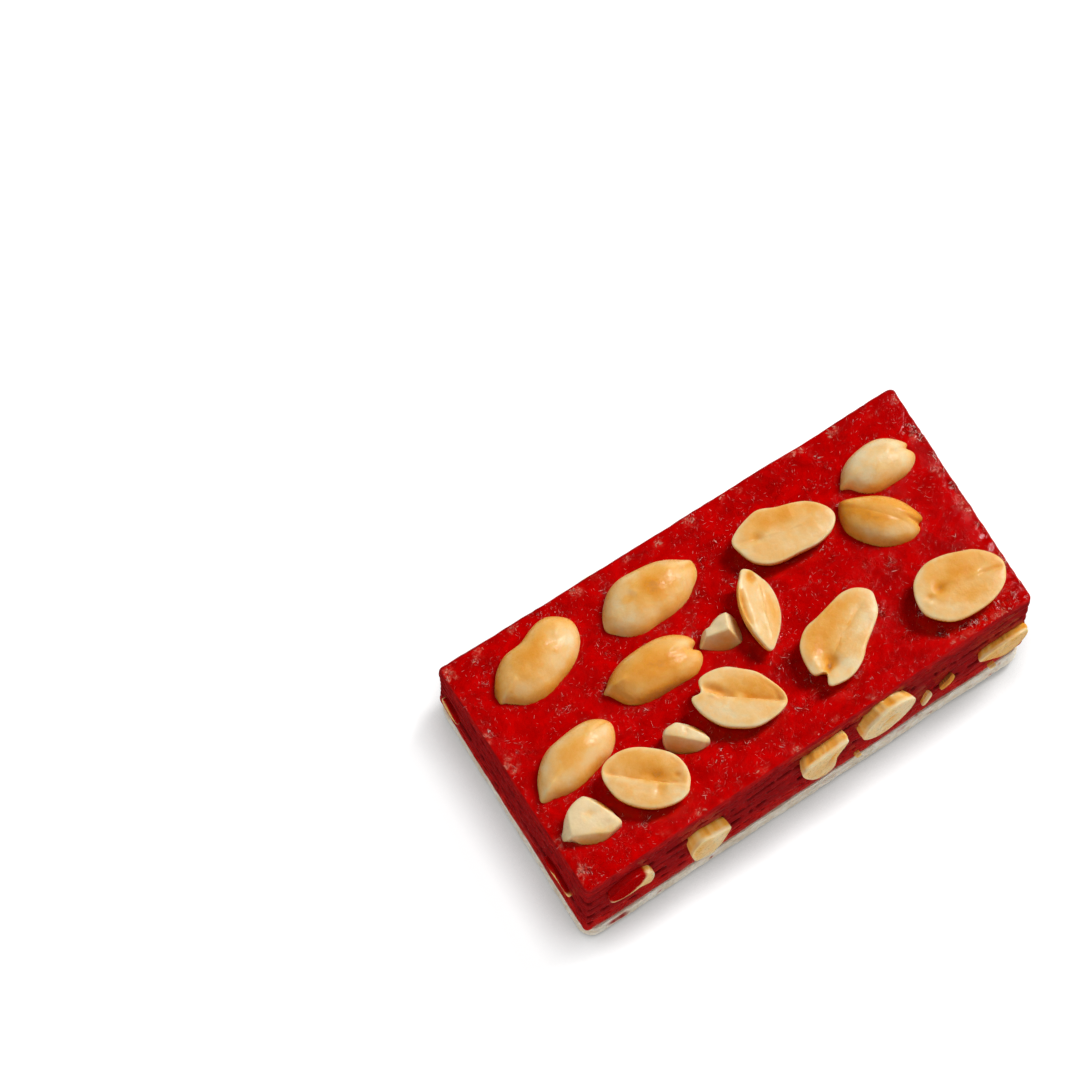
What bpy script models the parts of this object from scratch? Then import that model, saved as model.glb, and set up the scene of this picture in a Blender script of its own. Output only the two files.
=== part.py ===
"""A layered sweet bar: glossy red fruit jelly on a thin white nougat base, with peanuts.

The peanuts lie on top and show in the cut sides. Units are metres and +Z is up. The long side runs
along X, and the bar stands on its flat white underside at z = 0.
"""

import math
from dataclasses import dataclass
from functools import partial

import bmesh
import bpy
from mathutils import Matrix, Vector, noise

MM = 0.001
# Room between two pieces that touch in the real bar.
GAP = 0.3 * MM


@dataclass(frozen=True)
class Corner:
    """One upright corner of the bar, in millimetres."""

    x: float
    y: float
    top: float
    base: float


# The bar is cut by hand, so its corners differ a little in place, height and thickness of the base.
LEFT_FRONT = Corner(-43.8, -23.1, 18.4, 2.6)
RIGHT_FRONT = Corner(39.7, -20.4, 20.6, 3.9)
RIGHT_BACK = Corner(43.9, 22.6, 17.2, 3.0)
LEFT_BACK = Corner(-41.3, 22.1, 13.3, 2.4)

# The grid that both blocks grow from. The sides' relief leaves this share of it, from its middle out, alone.
CELLS_ALONG = 18
CELLS_ACROSS = 12
STILL_SHARE = 0.9
# The red block and its pressed sheets. Each sheet's lips take this share of its height.
RED_CORNER_RADIUS = 0.9
TOP_EDGE_ROUNDING = 0.35
TOP_UNDULATION = 0.22
TOP_WAVE_LENGTH = 13.0
STRATA = 6
STRATUM_LIP_SHARE = 0.2
STRATUM_SHIFT = 0.22
STRATUM_WAVE = 0.16
STRATUM_WAVE_LENGTH = 9.0
FISSURE_DEPTH = 0.42
# The white base, which bulges between its foot and its head.
BASE_CORNER_RADIUS = 2.2
BASE_BULGE = 0.5
BASE_SHOULDER = 0.35
BASE_FOOT_INSET = 0.1
BASE_HEAD_INSET = 0.05
BASE_LUMPS = 0.30
# How far the white base falls short of the red block at the left end, the right end and the back.
BASE_SHORT_LEFT = 0.35
BASE_SHORT_RIGHT = 0.75
BASE_SHORT_BACK = 0.4

# The peanut meshes, and the shape of a half: how full its outline and its back are, and its inner face.
NUT_SEGMENTS = 12
NUT_RINGS = 12
SIDE_NUT_RINGS = 8
OUTLINE_FULLNESS = 0.8
BACK_FULLNESS = 0.7
INNER_FACE_RISE = 0.35
GROOVE_DEPTH = 0.45
GROOVE_SHARE = 0.4
WAIST_PLACE = 0.1
WAIST_SPREAD = 0.4
POLE_SHARE = 0.99
# How deep a half sinks that lies flat side down, and how far one stands out that lies flat side up.
DOME_UP_SINK = 0.9
FACE_UP_RISE = 2.5

RED = (0.42, 0.004, 0.006, 1.0)
WHITE = (0.86, 0.82, 0.74, 1.0)
PEANUT = (0.80, 0.56, 0.28, 1.0)


@dataclass(frozen=True)
class HalfNut:
    """One half of a peanut on top of the bar, in millimetres and degrees."""

    name: str
    x: float
    y: float
    turn: float
    length: float
    width: float
    dome: float = 4.1
    face_up: bool = False
    tilt: float = 0.0
    nib: float = 0.5
    notch: float = 0.0
    waist: float = 0.0
    bend: float = 0.0
    taper: float = 0.0


TOP_HALVES = (
    HalfNut("peanut_back_right", 33.9, 12.1, -5, 12.0, 9.0, nib=0.9, notch=0.9),
    HalfNut("peanut_right", 28.8, 3.7, -55, 13.6, 8.1, dome=4.2, nib=0.9, notch=0.9),
    HalfNut("peanut_back_middle", 14.5, 9.7, -19, 17.0, 10.2, face_up=True, waist=0.06, bend=0.4),
    HalfNut("peanut_back_left", -7.9, 13.9, 7, 17.4, 10.6, dome=4.3, nib=0.4, notch=0.3),
    HalfNut("peanut_far_left", -27.8, 14.4, 16, 17.0, 10.3, dome=4.3, nib=0.9, waist=0.10, bend=-0.4),
    HalfNut("peanut_middle", -14.1, 2.8, -11, 15.2, 9.8, dome=4.3, nib=0.9, notch=1.0),
    HalfNut("peanut_front_middle", -7.2, -9.9, -43, 14.6, 10.1, face_up=True, notch=0.2, nib=-0.5),
    HalfNut("peanut_sliver", 4.1, 1.3, 70, 12.6, 6.4, dome=3.0, face_up=True, tilt=24),
    HalfNut("peanut_front_right", 11.4, -9.9, 27, 17.2, 10.6, face_up=True, nib=-0.8, waist=0.10, taper=0.10),
    HalfNut("peanut_corner_right", 31.1, -13.4, -12, 15.0, 11.1, face_up=True, nib=-0.2),
    HalfNut("peanut_near_left", -32.8, -3.0, 17, 16.2, 8.6, dome=4.2, nib=0.9, notch=0.3),
    HalfNut("peanut_near_middle", -26.3, -13.2, -42, 13.6, 9.9, face_up=True, nib=-0.1),
)


@dataclass(frozen=True)
class Break:
    """A flat broken face: where it looks, in degrees round and up, and how far out it is as a share."""

    turn: float
    climb: float
    reach: float


@dataclass(frozen=True)
class Chunk:
    """A broken bit of peanut, in millimetres and degrees: a squashed ball with flat broken faces."""

    name: str
    x: float
    y: float
    turn: float
    length: float
    width: float
    height: float
    breaks: tuple


MIDDLE_BREAKS = (Break(-10, 55, 0.62), Break(100, 30, 0.60), Break(-95, 40, 0.66))
FRONT_BREAKS = (Break(90, 60, 0.58), Break(-90, 35, 0.62), Break(10, 25, 0.80))
CORNER_BREAKS = (Break(80, 65, 0.70), Break(-100, 45, 0.72), Break(0, 30, 0.86))

TOP_CHUNKS = (
    Chunk("peanut_bit_middle", -2.4, 2.2, -17, 6.6, 5.6, 4.8, MIDDLE_BREAKS),
    Chunk("peanut_bit_front", -17.0, -10.2, -40, 6.8, 5.0, 4.2, FRONT_BREAKS),
    Chunk("peanut_bit_corner", -36.7, -13.6, -23, 9.0, 7.4, 4.4, CORNER_BREAKS),
)


@dataclass(frozen=True)
class SideNut:
    """A peanut cut open at a side of the bar: its middle and how far it stands out, in millimetres."""

    name: str
    side: str
    along: float
    height: float
    length: float
    width: float
    out: float
    dome: float = 3.4
    roll: float = 0.0


SIDE_NUTS = (
    SideNut("side_nut_front_1", "front", -35.7, 12.0, 8.6, 5.4, 0.7, dome=2.8, roll=3),
    SideNut("side_nut_front_2", "front", -21.5, 10.2, 7.9, 7.6, 1.2, dome=4.0, roll=10),
    SideNut("side_nut_front_3", "front", -0.7, 13.3, 9.2, 8.2, 1.6, dome=4.4, roll=24),
    SideNut("side_nut_front_4", "front", 11.7, 14.2, 10.0, 7.8, 1.5, dome=4.4, roll=13),
    SideNut("side_nut_front_5", "front", 34.5, 9.9, 9.4, 4.6, 0.7, dome=3.0, roll=-4),
    SideNut("side_nut_left_1", "left", 17.7, 6.6, 4.8, 2.8, 0.3, dome=2.2),
    SideNut("side_nut_left_2", "left", -15.1, 8.4, 7.6, 1.8, 0.2, dome=2.0, roll=-2),
    SideNut("side_nut_back_1", "back", -34.1, 7.6, 8.6, 5.4, 1.0, roll=-8),
    SideNut("side_nut_back_2", "back", -12.6, 8.0, 9.6, 5.8, 1.1, roll=6),
    SideNut("side_nut_back_3", "back", 8.9, 8.6, 8.2, 4.6, 0.8, roll=12),
    SideNut("side_nut_back_4", "back", 29.4, 7.4, 9.2, 4.8, 1.0, roll=-5),
    SideNut("side_nut_right_1", "right", -5.2, 10.8, 9.0, 5.6, 0.9, roll=7),
    SideNut("side_nut_right_2", "right", 10.8, 8.8, 7.2, 4.0, 0.6, dome=2.8, roll=-10),
)


def clear_scene():
    """Removes every object that the start-up file holds."""
    for found in list(bpy.data.objects):
        bpy.data.objects.remove(found, do_unlink=True)


def make_collection(name):
    """Links a new collection to the scene."""
    made = bpy.data.collections.new(name)
    bpy.context.scene.collection.children.link(made)
    return made


def make_material(name, colour, roughness):
    """A Principled material in one colour."""
    made = bpy.data.materials.new(name)
    made.use_nodes = True
    shader = made.node_tree.nodes["Principled BSDF"]
    shader.inputs["Base Color"].default_value = colour
    shader.inputs["Roughness"].default_value = roughness
    shader.inputs["Metallic"].default_value = 0.0
    return made


def make_object(name, bm, collection, material):
    """Turns a finished bmesh into an object."""
    mesh = bpy.data.meshes.new(name)
    bm.to_mesh(mesh)
    bm.free()
    if material is not None:
        mesh.materials.append(material)
    made = bpy.data.objects.new(name, mesh)
    collection.objects.link(made)
    return made


def between_corners(s, t, value):
    """Blends one value of the four corners: s runs 0 to 1 from left to right, t 0 to 1 from front to back."""
    front = value(LEFT_FRONT) * (1 - s) + value(RIGHT_FRONT) * s
    back = value(LEFT_BACK) * (1 - s) + value(RIGHT_BACK) * s
    return front * (1 - t) + back * t


def spot_on_bar(s, t):
    """The place in millimetres of a point given as shares of the bar's length and width."""
    return between_corners(s, t, lambda c: c.x), between_corners(s, t, lambda c: c.y)


def shares_of(x, y):
    """The shares of length and width at a place in millimetres, by a few corrections from the middle."""
    s = 0.5
    t = 0.5
    for _ in range(12):
        at_x, at_y = spot_on_bar(s, t)
        s += (x - at_x) / (RIGHT_FRONT.x - LEFT_FRONT.x)
        t += (y - at_y) / (LEFT_BACK.y - LEFT_FRONT.y)
    return s, t


def top_height(x, y):
    """The height of the red top in millimetres at a place on it."""
    s, t = shares_of(x, y)
    return between_corners(s, t, lambda c: c.top) + top_wave(x, y, s, t)


def top_wave(x, y, s, t):
    """The slow rise and fall of the red top, which fades out at its edges."""
    fade = min(1.0, 8 * min(s, t, 1 - s, 1 - t))
    spot = Vector((x / TOP_WAVE_LENGTH, y / TOP_WAVE_LENGTH, 4.0))
    return TOP_UNDULATION * max(0.0, fade) * noise.noise(spot)


def ripple(x, y, layer):
    """A smooth random number from -1 to 1 that changes along the sides and from layer to layer."""
    return noise.noise(Vector((x / STRATUM_WAVE_LENGTH, y / STRATUM_WAVE_LENGTH, layer * 7.3)))


def rounded_share(u, v, length, width, radius):
    """Moves a point of a unit rectangle, given from -0.5 to 0.5, so that the rectangle has round corners."""
    over_x = abs(u) * length - (length / 2 - radius)
    over_y = abs(v) * width - (width / 2 - radius)
    if over_x <= 0 or over_y <= 0:
        return u, v
    pull = max(over_x, over_y) / math.hypot(over_x, over_y)
    u = math.copysign((length / 2 - radius + over_x * pull) / length, u)
    v = math.copysign((width / 2 - radius + over_y * pull) / width, v)
    return u, v


@dataclass(frozen=True)
class Level:
    """One ring of a block: its height as a share of the block, and how far the outline goes in at it."""

    height: float
    inset: float
    shift: float = 0.0
    wave: float = 0.0
    layer: float = 0.0


def place_on_level(u, v, level, radius, bottom, top, relief, short):
    """Where a block's grid point lies on one level.

    bottom and top give a corner's two heights, relief the top's own rise and fall, and short how far the left
    end, the right end and the back are pulled in.
    """
    length = RIGHT_FRONT.x - LEFT_FRONT.x
    width = LEFT_BACK.y - LEFT_FRONT.y
    # More rows near the edges, so that the corners come out round.
    u = 0.5 * math.sin(math.pi * u)
    v = 0.5 * math.sin(math.pi * v)
    edge = max(0.0, max(abs(u), abs(v)) * 2 - STILL_SHARE) / (1 - STILL_SHARE)
    u, v = rounded_share(u, v, length, width, radius)
    x, y = spot_on_bar(u + 0.5, v + 0.5)
    push = level.shift + level.wave * ripple(x, y, level.layer) - level.inset
    u *= 1 + 2 * push * edge / length
    v *= 1 + 2 * push * edge / width
    s, t = u + 0.5, v + 0.5
    x, y = spot_on_bar(s, t)
    left, right, back = short
    x += left * (1 - s) - right * s
    y -= back * t
    low = between_corners(s, t, bottom)
    high = between_corners(s, t, top)
    z = low + (high - low) * level.height
    return Vector((x, y, z + relief(x, y, s, t) * (level.height == 1.0))) * MM


def layered_block(levels, radius, bottom, top, relief, short=(0.0, 0.0, 0.0)):
    """A block grown from a flat grid, its underside: each level is one more extrusion of it."""
    bm = bmesh.new()
    bmesh.ops.create_grid(bm, x_segments=CELLS_ALONG, y_segments=CELLS_ACROSS, size=0.5)
    share_u = bm.verts.layers.float.new("share_u")
    share_v = bm.verts.layers.float.new("share_v")
    for vert in bm.verts:
        vert[share_u] = vert.co.x
        vert[share_v] = vert.co.y
    rising = list(bm.faces)
    for number, level in enumerate(levels):
        if number:
            edges = {edge for face in rising for edge in face.edges}
            corners = {vert for face in rising for vert in face.verts}
            grown = bmesh.ops.extrude_face_region(bm, geom=[*rising, *edges, *corners])["geom"]
            rising = [part for part in grown if isinstance(part, bmesh.types.BMFace)]
        moved = {vert for face in rising for vert in face.verts}
        for vert in moved:
            u = vert[share_u]
            v = vert[share_v]
            vert.co = place_on_level(u, v, level, radius, bottom, top, relief, short)
    bm.verts.layers.float.remove(bm.verts.layers.float["share_u"])
    bm.verts.layers.float.remove(bm.verts.layers.float["share_v"])
    bmesh.ops.recalc_face_normals(bm, faces=bm.faces)
    return bm


def build_base(collection, material):
    """The thin white nougat slab, with soft, slightly lumpy edges."""
    levels = (
        Level(0.0, BASE_FOOT_INSET, layer=1.0),
        Level(0.18, -BASE_SHOULDER, wave=BASE_LUMPS, layer=1.2),
        Level(0.5, -BASE_BULGE, wave=BASE_LUMPS, layer=1.4),
        Level(0.86, -BASE_SHOULDER, wave=BASE_LUMPS, layer=1.6),
        Level(1.0, BASE_HEAD_INSET, wave=BASE_LUMPS / 2, layer=1.8),
    )
    bm = layered_block(
        levels,
        BASE_CORNER_RADIUS,
        lambda c: 0.0,
        lambda c: c.base - GAP / MM / 2,
        lambda x, y, s, t: 0.0,
        (BASE_SHORT_LEFT, BASE_SHORT_RIGHT, BASE_SHORT_BACK),
    )
    return make_object("nougat_base", bm, collection, material)


def strata_levels():
    """The red block's rings: each pressed sheet bulges, and a fissure runs between it and the next."""
    levels = [Level(0.0, 0.1, layer=0.0)]
    for number in range(STRATA):
        shift = STRATUM_SHIFT * noise.noise(Vector((number * 3.7, 1.3, 0.4)))
        low = number / STRATA
        high = (number + 1) / STRATA
        lip = STRATUM_LIP_SHARE / STRATA
        levels.append(Level(low + lip, 0.0, shift, STRATUM_WAVE, number + 1.0))
        levels.append(Level(high - lip, 0.0, shift, STRATUM_WAVE, number + 1.4))
        if number < STRATA - 1:
            levels.append(Level(high, FISSURE_DEPTH, shift, STRATUM_WAVE * 2, number + 1.8))
    levels.append(Level(1.0, TOP_EDGE_ROUNDING, layer=STRATA + 1.0))
    return levels


def build_red_block(collection, material):
    """The red jelly, pressed from thin sheets."""
    bm = layered_block(
        strata_levels(),
        RED_CORNER_RADIUS,
        lambda c: c.base + GAP / MM / 2,
        lambda c: c.top,
        top_wave,
    )
    return make_object("red_jelly", bm, collection, material)


def half_nut_mesh(
    length, width, dome, rings, nib=0.0, notch=0.0, waist=0.0, bend=0.0, taper=0.0, grow=0.0
):
    """Half a peanut about its own middle: long side on X, flat inner face up, round back down.

    It is a ball with its poles on the long axis, each ring squashed to the nut's width there. grow makes it
    larger all round, for the hollow that the nut lies in.
    """
    bm = bmesh.new()
    bmesh.ops.create_uvsphere(bm, u_segments=NUT_SEGMENTS, v_segments=rings, radius=1.0)
    for vert in bm.verts:
        along = vert.co.z
        ring = math.sqrt(max(0.0, 1 - along * along))
        around = math.atan2(vert.co.y, vert.co.x) if ring > 1e-4 else 0.0
        waist_here = waist * math.exp(-(((along - WAIST_PLACE) / WAIST_SPREAD) ** 2))
        narrowing = (1 - taper * along) * (1 - waist_here)
        half_width = width / 2 * ring**OUTLINE_FULLNESS * narrowing + grow * min(1.0, 2 * ring)
        x = along * (length / 2 + grow)
        if along < -POLE_SHARE:
            x -= nib
        if along > POLE_SHARE:
            x -= notch
        y = half_width * math.cos(around) + bend * (1 - along * along)
        up = math.sin(around)
        if up < 0:
            z = (dome * ring**BACK_FULLNESS + grow) * up
        else:
            groove = GROOVE_DEPTH * ring * max(0.0, 1 - abs(math.cos(around)) / GROOVE_SHARE)
            z = (INNER_FACE_RISE * ring + grow) * min(1.0, 1.6 * up) - groove * (grow == 0)
        vert.co = Vector((x, y, z)) * MM
    return bm


def chunk_mesh(chunk, grow=0.0):
    """A broken bit about its own middle: a squashed ball with each break sliced off flat."""
    bm = bmesh.new()
    bmesh.ops.create_icosphere(bm, subdivisions=2, radius=1.0)
    for broken in chunk.breaks:
        turn = math.radians(broken.turn)
        climb = math.radians(broken.climb)
        level = math.cos(climb)
        normal = Vector((level * math.cos(turn), level * math.sin(turn), math.sin(climb)))
        cut = bmesh.ops.bisect_plane(
            bm,
            geom=bm.verts[:] + bm.edges[:] + bm.faces[:],
            dist=1e-5,
            plane_co=normal * broken.reach,
            plane_no=normal,
            clear_outer=True,
        )["geom_cut"]
        rim = [part for part in cut if isinstance(part, bmesh.types.BMEdge)]
        bmesh.ops.holes_fill(bm, edges=rim, sides=0)
    bmesh.ops.triangulate(bm, faces=bm.faces)
    bmesh.ops.recalc_face_normals(bm, faces=bm.faces)
    size = Vector((chunk.length / 2 + grow, chunk.width / 2 + grow, chunk.height / 2 + grow))
    for vert in bm.verts:
        vert.co = Vector((vert.co.x * size.x, vert.co.y * size.y, vert.co.z * size.z)) * MM
    return bm


def top_nut_matrix(nut):
    """Where a half nut lies on the top: its turn, the side that faces up, and how deep it sits."""
    level = top_height(nut.x, nut.y)
    turn = Matrix.Rotation(math.radians(nut.turn), 4, "Z")
    tilt = Matrix.Rotation(math.radians(nut.tilt), 4, "X")
    if nut.face_up:
        place = Matrix.Translation(Vector((nut.x, nut.y, level + FACE_UP_RISE)) * MM)
        return place @ turn @ tilt
    flip = Matrix.Rotation(math.pi, 4, "X")
    place = Matrix.Translation(Vector((nut.x, nut.y, level - DOME_UP_SINK)) * MM)
    return place @ turn @ tilt @ flip


def chunk_matrix(chunk):
    """Where a broken bit lies on the top, sunk by a quarter of its height."""
    level = top_height(chunk.x, chunk.y)
    place = Matrix.Translation(Vector((chunk.x, chunk.y, level + chunk.height / 4)) * MM)
    return place @ Matrix.Rotation(math.radians(chunk.turn), 4, "Z")


SIDE_ENDS = {
    "front": (LEFT_FRONT, RIGHT_FRONT),
    "right": (RIGHT_FRONT, RIGHT_BACK),
    "back": (RIGHT_BACK, LEFT_BACK),
    "left": (LEFT_BACK, LEFT_FRONT),
}
SIGN_OF_ALONG = {"front": 1, "right": 1, "back": -1, "left": -1}


def side_nut_matrix(nut):
    """Where a cut nut sits in a side: its flat face looks straight out of that side.

    Along front and back its place is the x of its middle, and along the two ends the y.
    """
    start, end = SIDE_ENDS[nut.side]
    run = Vector((end.x - start.x, end.y - start.y, 0.0))
    if nut.side in ("front", "back"):
        share = (nut.along - start.x) / run.x
    else:
        share = (nut.along - start.y) / run.y
    outward = Vector((run.y, -run.x, 0.0)).normalized()
    middle = Vector((start.x, start.y, nut.height)) + run * share + outward * nut.out
    facing = Matrix.Rotation(math.atan2(run.y, run.x), 4, "Z") @ Matrix.Rotation(math.pi / 2, 4, "X")
    roll = Matrix.Rotation(math.radians(nut.roll), 4, "Z")
    return Matrix.Translation(middle * MM) @ facing @ roll


def add_nut(name, make_mesh, matrix, nuts, cutters, material):
    """Adds a nut and, among the cutters, the slightly larger shape of its hollow."""
    nut = make_object(name, make_mesh(), nuts, material)
    nut.matrix_world = matrix
    hollow = make_object("hollow_" + name, make_mesh(grow=GAP / MM), cutters, None)
    hollow.matrix_world = matrix
    hollow.hide_render = True
    hollow.display_type = "WIRE"


def build_nuts(nuts, cutters, material):
    """All the peanuts: the halves and bits on top, and the cut ones in the four sides."""
    for nut in TOP_HALVES:
        size = (nut.length, nut.width, nut.dome, NUT_RINGS)
        make_mesh = partial(half_nut_mesh, *size, nut.nib, nut.notch, nut.waist, nut.bend, nut.taper)
        add_nut(nut.name, make_mesh, top_nut_matrix(nut), nuts, cutters, material)
    for chunk in TOP_CHUNKS:
        add_nut(chunk.name, partial(chunk_mesh, chunk), chunk_matrix(chunk), nuts, cutters, material)
    for nut in SIDE_NUTS:
        make_mesh = partial(half_nut_mesh, nut.length, nut.width, nut.dome, SIDE_NUT_RINGS)
        add_nut(nut.name, make_mesh, side_nut_matrix(nut), nuts, cutters, material)


def cut_hollows(block, cutters):
    """Takes the nuts' hollows out of the red block."""
    cut = block.modifiers.new("nut_hollows", "BOOLEAN")
    cut.operation = "DIFFERENCE"
    cut.operand_type = "COLLECTION"
    cut.collection = cutters
    cut.solver = "EXACT"


def main():
    clear_scene()
    bar = make_collection("nougat_bar")
    cutters = make_collection("nougat_cutters")
    white = make_material("white_nougat", WHITE, 0.7)
    red = make_material("red_jelly", RED, 0.22)
    peanut = make_material("peanut", PEANUT, 0.45)
    build_base(bar, white)
    block = build_red_block(bar, red)
    build_nuts(bar, cutters, peanut)
    cut_hollows(block, cutters)


main()
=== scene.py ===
"""The looks of a layered sweet bar: glossy red fruit jelly on a thin white nougat base, with peanuts.

Sizes are in millimetres in the part's own frame, with +Z up, and become metres where a mesh is made.
"""

import logging
import math
from dataclasses import dataclass
from enum import Enum
from typing import Callable, Mapping, Sequence

import bpy
import numpy as np
from mathutils import Matrix, Vector, noise


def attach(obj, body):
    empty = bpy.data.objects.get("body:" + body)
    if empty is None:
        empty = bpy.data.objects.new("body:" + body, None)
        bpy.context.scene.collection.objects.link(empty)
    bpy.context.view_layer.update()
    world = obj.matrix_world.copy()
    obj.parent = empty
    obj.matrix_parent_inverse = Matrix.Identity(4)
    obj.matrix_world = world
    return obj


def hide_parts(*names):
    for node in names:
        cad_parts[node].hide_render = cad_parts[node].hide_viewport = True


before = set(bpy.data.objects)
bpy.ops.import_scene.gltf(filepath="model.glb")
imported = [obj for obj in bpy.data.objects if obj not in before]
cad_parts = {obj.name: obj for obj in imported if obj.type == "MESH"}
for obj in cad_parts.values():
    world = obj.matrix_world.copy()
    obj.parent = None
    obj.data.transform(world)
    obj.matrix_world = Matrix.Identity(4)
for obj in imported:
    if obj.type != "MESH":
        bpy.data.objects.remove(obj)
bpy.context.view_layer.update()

MM = 0.001
FAR_AWAY = 99.0
log = logging.getLogger("nougat_bar")

Array = np.ndarray
Point = tuple[float, float]
Triple = tuple[float, float, float]
Colour = Triple
Material = bpy.types.Material
Piece = bpy.types.Object
Socket = bpy.types.NodeSocket


class Slot(Enum):
    """The record's material slots."""

    JELLY = "red_jelly"
    NOUGAT = "white_nougat"
    PEANUT = "peanut"


class Lie(Enum):
    """How a piece of peanut lies in the bar."""

    DOME_UP = "dome up"
    FACE_UP = "inner face up"
    BROKEN = "broken bit"


class MarkKind(Enum):
    """What a mark does to the face it is on."""

    DENT = "dent"
    CREASE = "crease"
    TINT = "tint"
    SPOT = "spot"
    FILM = "film"


def smooth_noise(points: Array, size: float, layer: float = 0.0, octaves: int = 1) -> Array:
    """Smooth random numbers from about -1 to 1 at many points.

    Args:
        points: The places, one row each, with two or three columns.
        size: The distance over which the numbers change.
        layer: Moves the pattern, so that two calls don't match.
        octaves: How many finer patterns are added, each half as strong.

    Returns:
        One number for each row.
    """
    where = np.zeros((len(points), 3))
    where[:, : points.shape[1]] = points / size
    where[:, 2] += layer
    total = np.zeros(len(points))
    share = 1.0
    for _ in range(octaves):
        total += share * np.fromiter((noise.noise(p) for p in where.tolist()), float, len(where))
        where = where * 2.03 + 11.7
        share *= 0.5
    return total


def step_between(low: float, high: float, value: Array) -> Array:
    """A smooth step from 0 at low to 1 at high.

    Args:
        low: Where the step starts.
        high: Where it ends.
        value: The numbers to step over.

    Returns:
        The step's height at each value.
    """
    share = np.clip((value - low) / (high - low), 0.0, 1.0)
    return share * share * (3 - 2 * share)


def turned_axes(x: Array, y: Array, degrees: float) -> tuple[Array, Array]:
    """Places seen from axes that are turned counter-clockwise.

    Args:
        x: The places' x.
        y: Their y.
        degrees: How far the axes are turned.

    Returns:
        The places along and across the turned axes.
    """
    cos, sin = math.cos(math.radians(degrees)), math.sin(math.radians(degrees))
    return x * cos + y * sin, y * cos - x * sin


def piece_from(name: str, points: Array, faces: Sequence[Sequence[int]], finish: Material) -> Piece:
    """Makes a smooth-shaded mesh object from points in millimetres.

    Args:
        name: The object's name.
        points: One row for each vertex.
        faces: The vertices of each face, in order.
        finish: The material.

    Returns:
        The new object, at the origin.
    """
    mesh = bpy.data.meshes.new(name)
    mesh.from_pydata((np.asarray(points) * MM).tolist(), [], [list(face) for face in faces])
    mesh.materials.append(finish)
    mesh.polygons.foreach_set("use_smooth", np.ones(len(mesh.polygons), bool))
    mesh.update()
    made = bpy.data.objects.new(name, mesh)
    bpy.context.scene.collection.objects.link(made)
    return made


def quads(*rows: Array) -> list[tuple[int, ...]]:
    """The faces whose corners stand at the same place in each of four rows of vertex numbers."""
    return list(zip(*(row.tolist() for row in rows)))


def give_numbers(piece: Piece, name: str, values: Array) -> None:
    """Stores one number for each vertex, for the piece's material to read.

    Args:
        piece: The mesh object.
        name: The attribute's name.
        values: One number for each vertex.
    """
    attribute = piece.data.attributes.new(name, "FLOAT", "POINT")
    attribute.data.foreach_set("value", np.asarray(values, np.float32))


def belongs(piece: Piece, slot: Slot, *nodes: str) -> None:
    """Ties a finished piece to the frame.

    Args:
        piece: The finished mesh object.
        slot: The record's slot of its finish; not used.
        nodes: The CAD nodes that it stands for.
    """
    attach(piece, "root")
    if nodes:
        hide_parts(*nodes)


# The bar's own shape.


@dataclass(frozen=True)
class Corner:
    """One upright corner of the bar: its place, the height of the top there and the thickness of the base."""

    x: float
    y: float
    top: float
    base: float


@dataclass(frozen=True)
class BarShape:
    """The four corners of the hand-cut bar, and what follows from them."""

    left_front: Corner = Corner(-43.8, -23.1, 18.4, 2.6)
    right_front: Corner = Corner(39.7, -20.4, 20.6, 3.9)
    right_back: Corner = Corner(43.9, 22.6, 17.2, 3.0)
    left_back: Corner = Corner(-41.3, 22.1, 13.3, 2.4)
    undulation: float = 0.22

    def corners(self) -> tuple[Corner, ...]:
        """The four corners, counter-clockwise from the left front."""
        return self.left_front, self.right_front, self.right_back, self.left_back

    @property
    def length(self) -> float:
        """The length of the front edge."""
        return self.right_front.x - self.left_front.x

    @property
    def width(self) -> float:
        """The width of the left end."""
        return self.left_back.y - self.left_front.y

    def blend(self, s: Array, t: Array, value: Callable[[Corner], float]) -> Array:
        """Blends one value of the four corners.

        Args:
            s: Shares of the length, 0 at the left end.
            t: Shares of the width, 0 at the front.
            value: Reads the value of a corner.

        Returns:
            The blended value at each place.
        """
        front = value(self.left_front) * (1 - s) + value(self.right_front) * s
        back = value(self.left_back) * (1 - s) + value(self.right_back) * s
        return front * (1 - t) + back * t

    def spots(self, s: Array, t: Array) -> Array:
        """The places of points given as shares.

        Args:
            s: Shares of the length.
            t: Shares of the width.

        Returns:
            One row of x and y for each point.
        """
        return np.stack([self.blend(s, t, lambda c: c.x), self.blend(s, t, lambda c: c.y)], axis=-1)

    def shares(self, spots: Array) -> tuple[Array, Array]:
        """The shares of length and width at some places, by a few corrections from the middle.

        Args:
            spots: One row of x and y for each place.

        Returns:
            The shares along and across.
        """
        s = np.full(len(spots), 0.5)
        t = np.full(len(spots), 0.5)
        for _ in range(12):
            off = spots - self.spots(s, t)
            s = s + off[:, 0] / self.length
            t = t + off[:, 1] / self.width
        return s, t

    def top(self, spots: Array) -> Array:
        """The height of the top, with its slow rise and fall.

        Args:
            spots: One row of x and y for each place.

        Returns:
            The height at each place.
        """
        s, t = self.shares(spots)
        fade = np.clip(8 * np.minimum(np.minimum(s, t), np.minimum(1 - s, 1 - t)), 0.0, 1.0)
        rise = self.undulation * fade * smooth_noise(spots, 13.0, 4.0)
        return self.blend(s, t, lambda c: c.top) + rise

    def top_at(self, x: float, y: float) -> float:
        """The height of the top at one place."""
        return float(self.top(np.array([[x, y]]))[0])


BAR = BarShape()


# The finishes.


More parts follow.
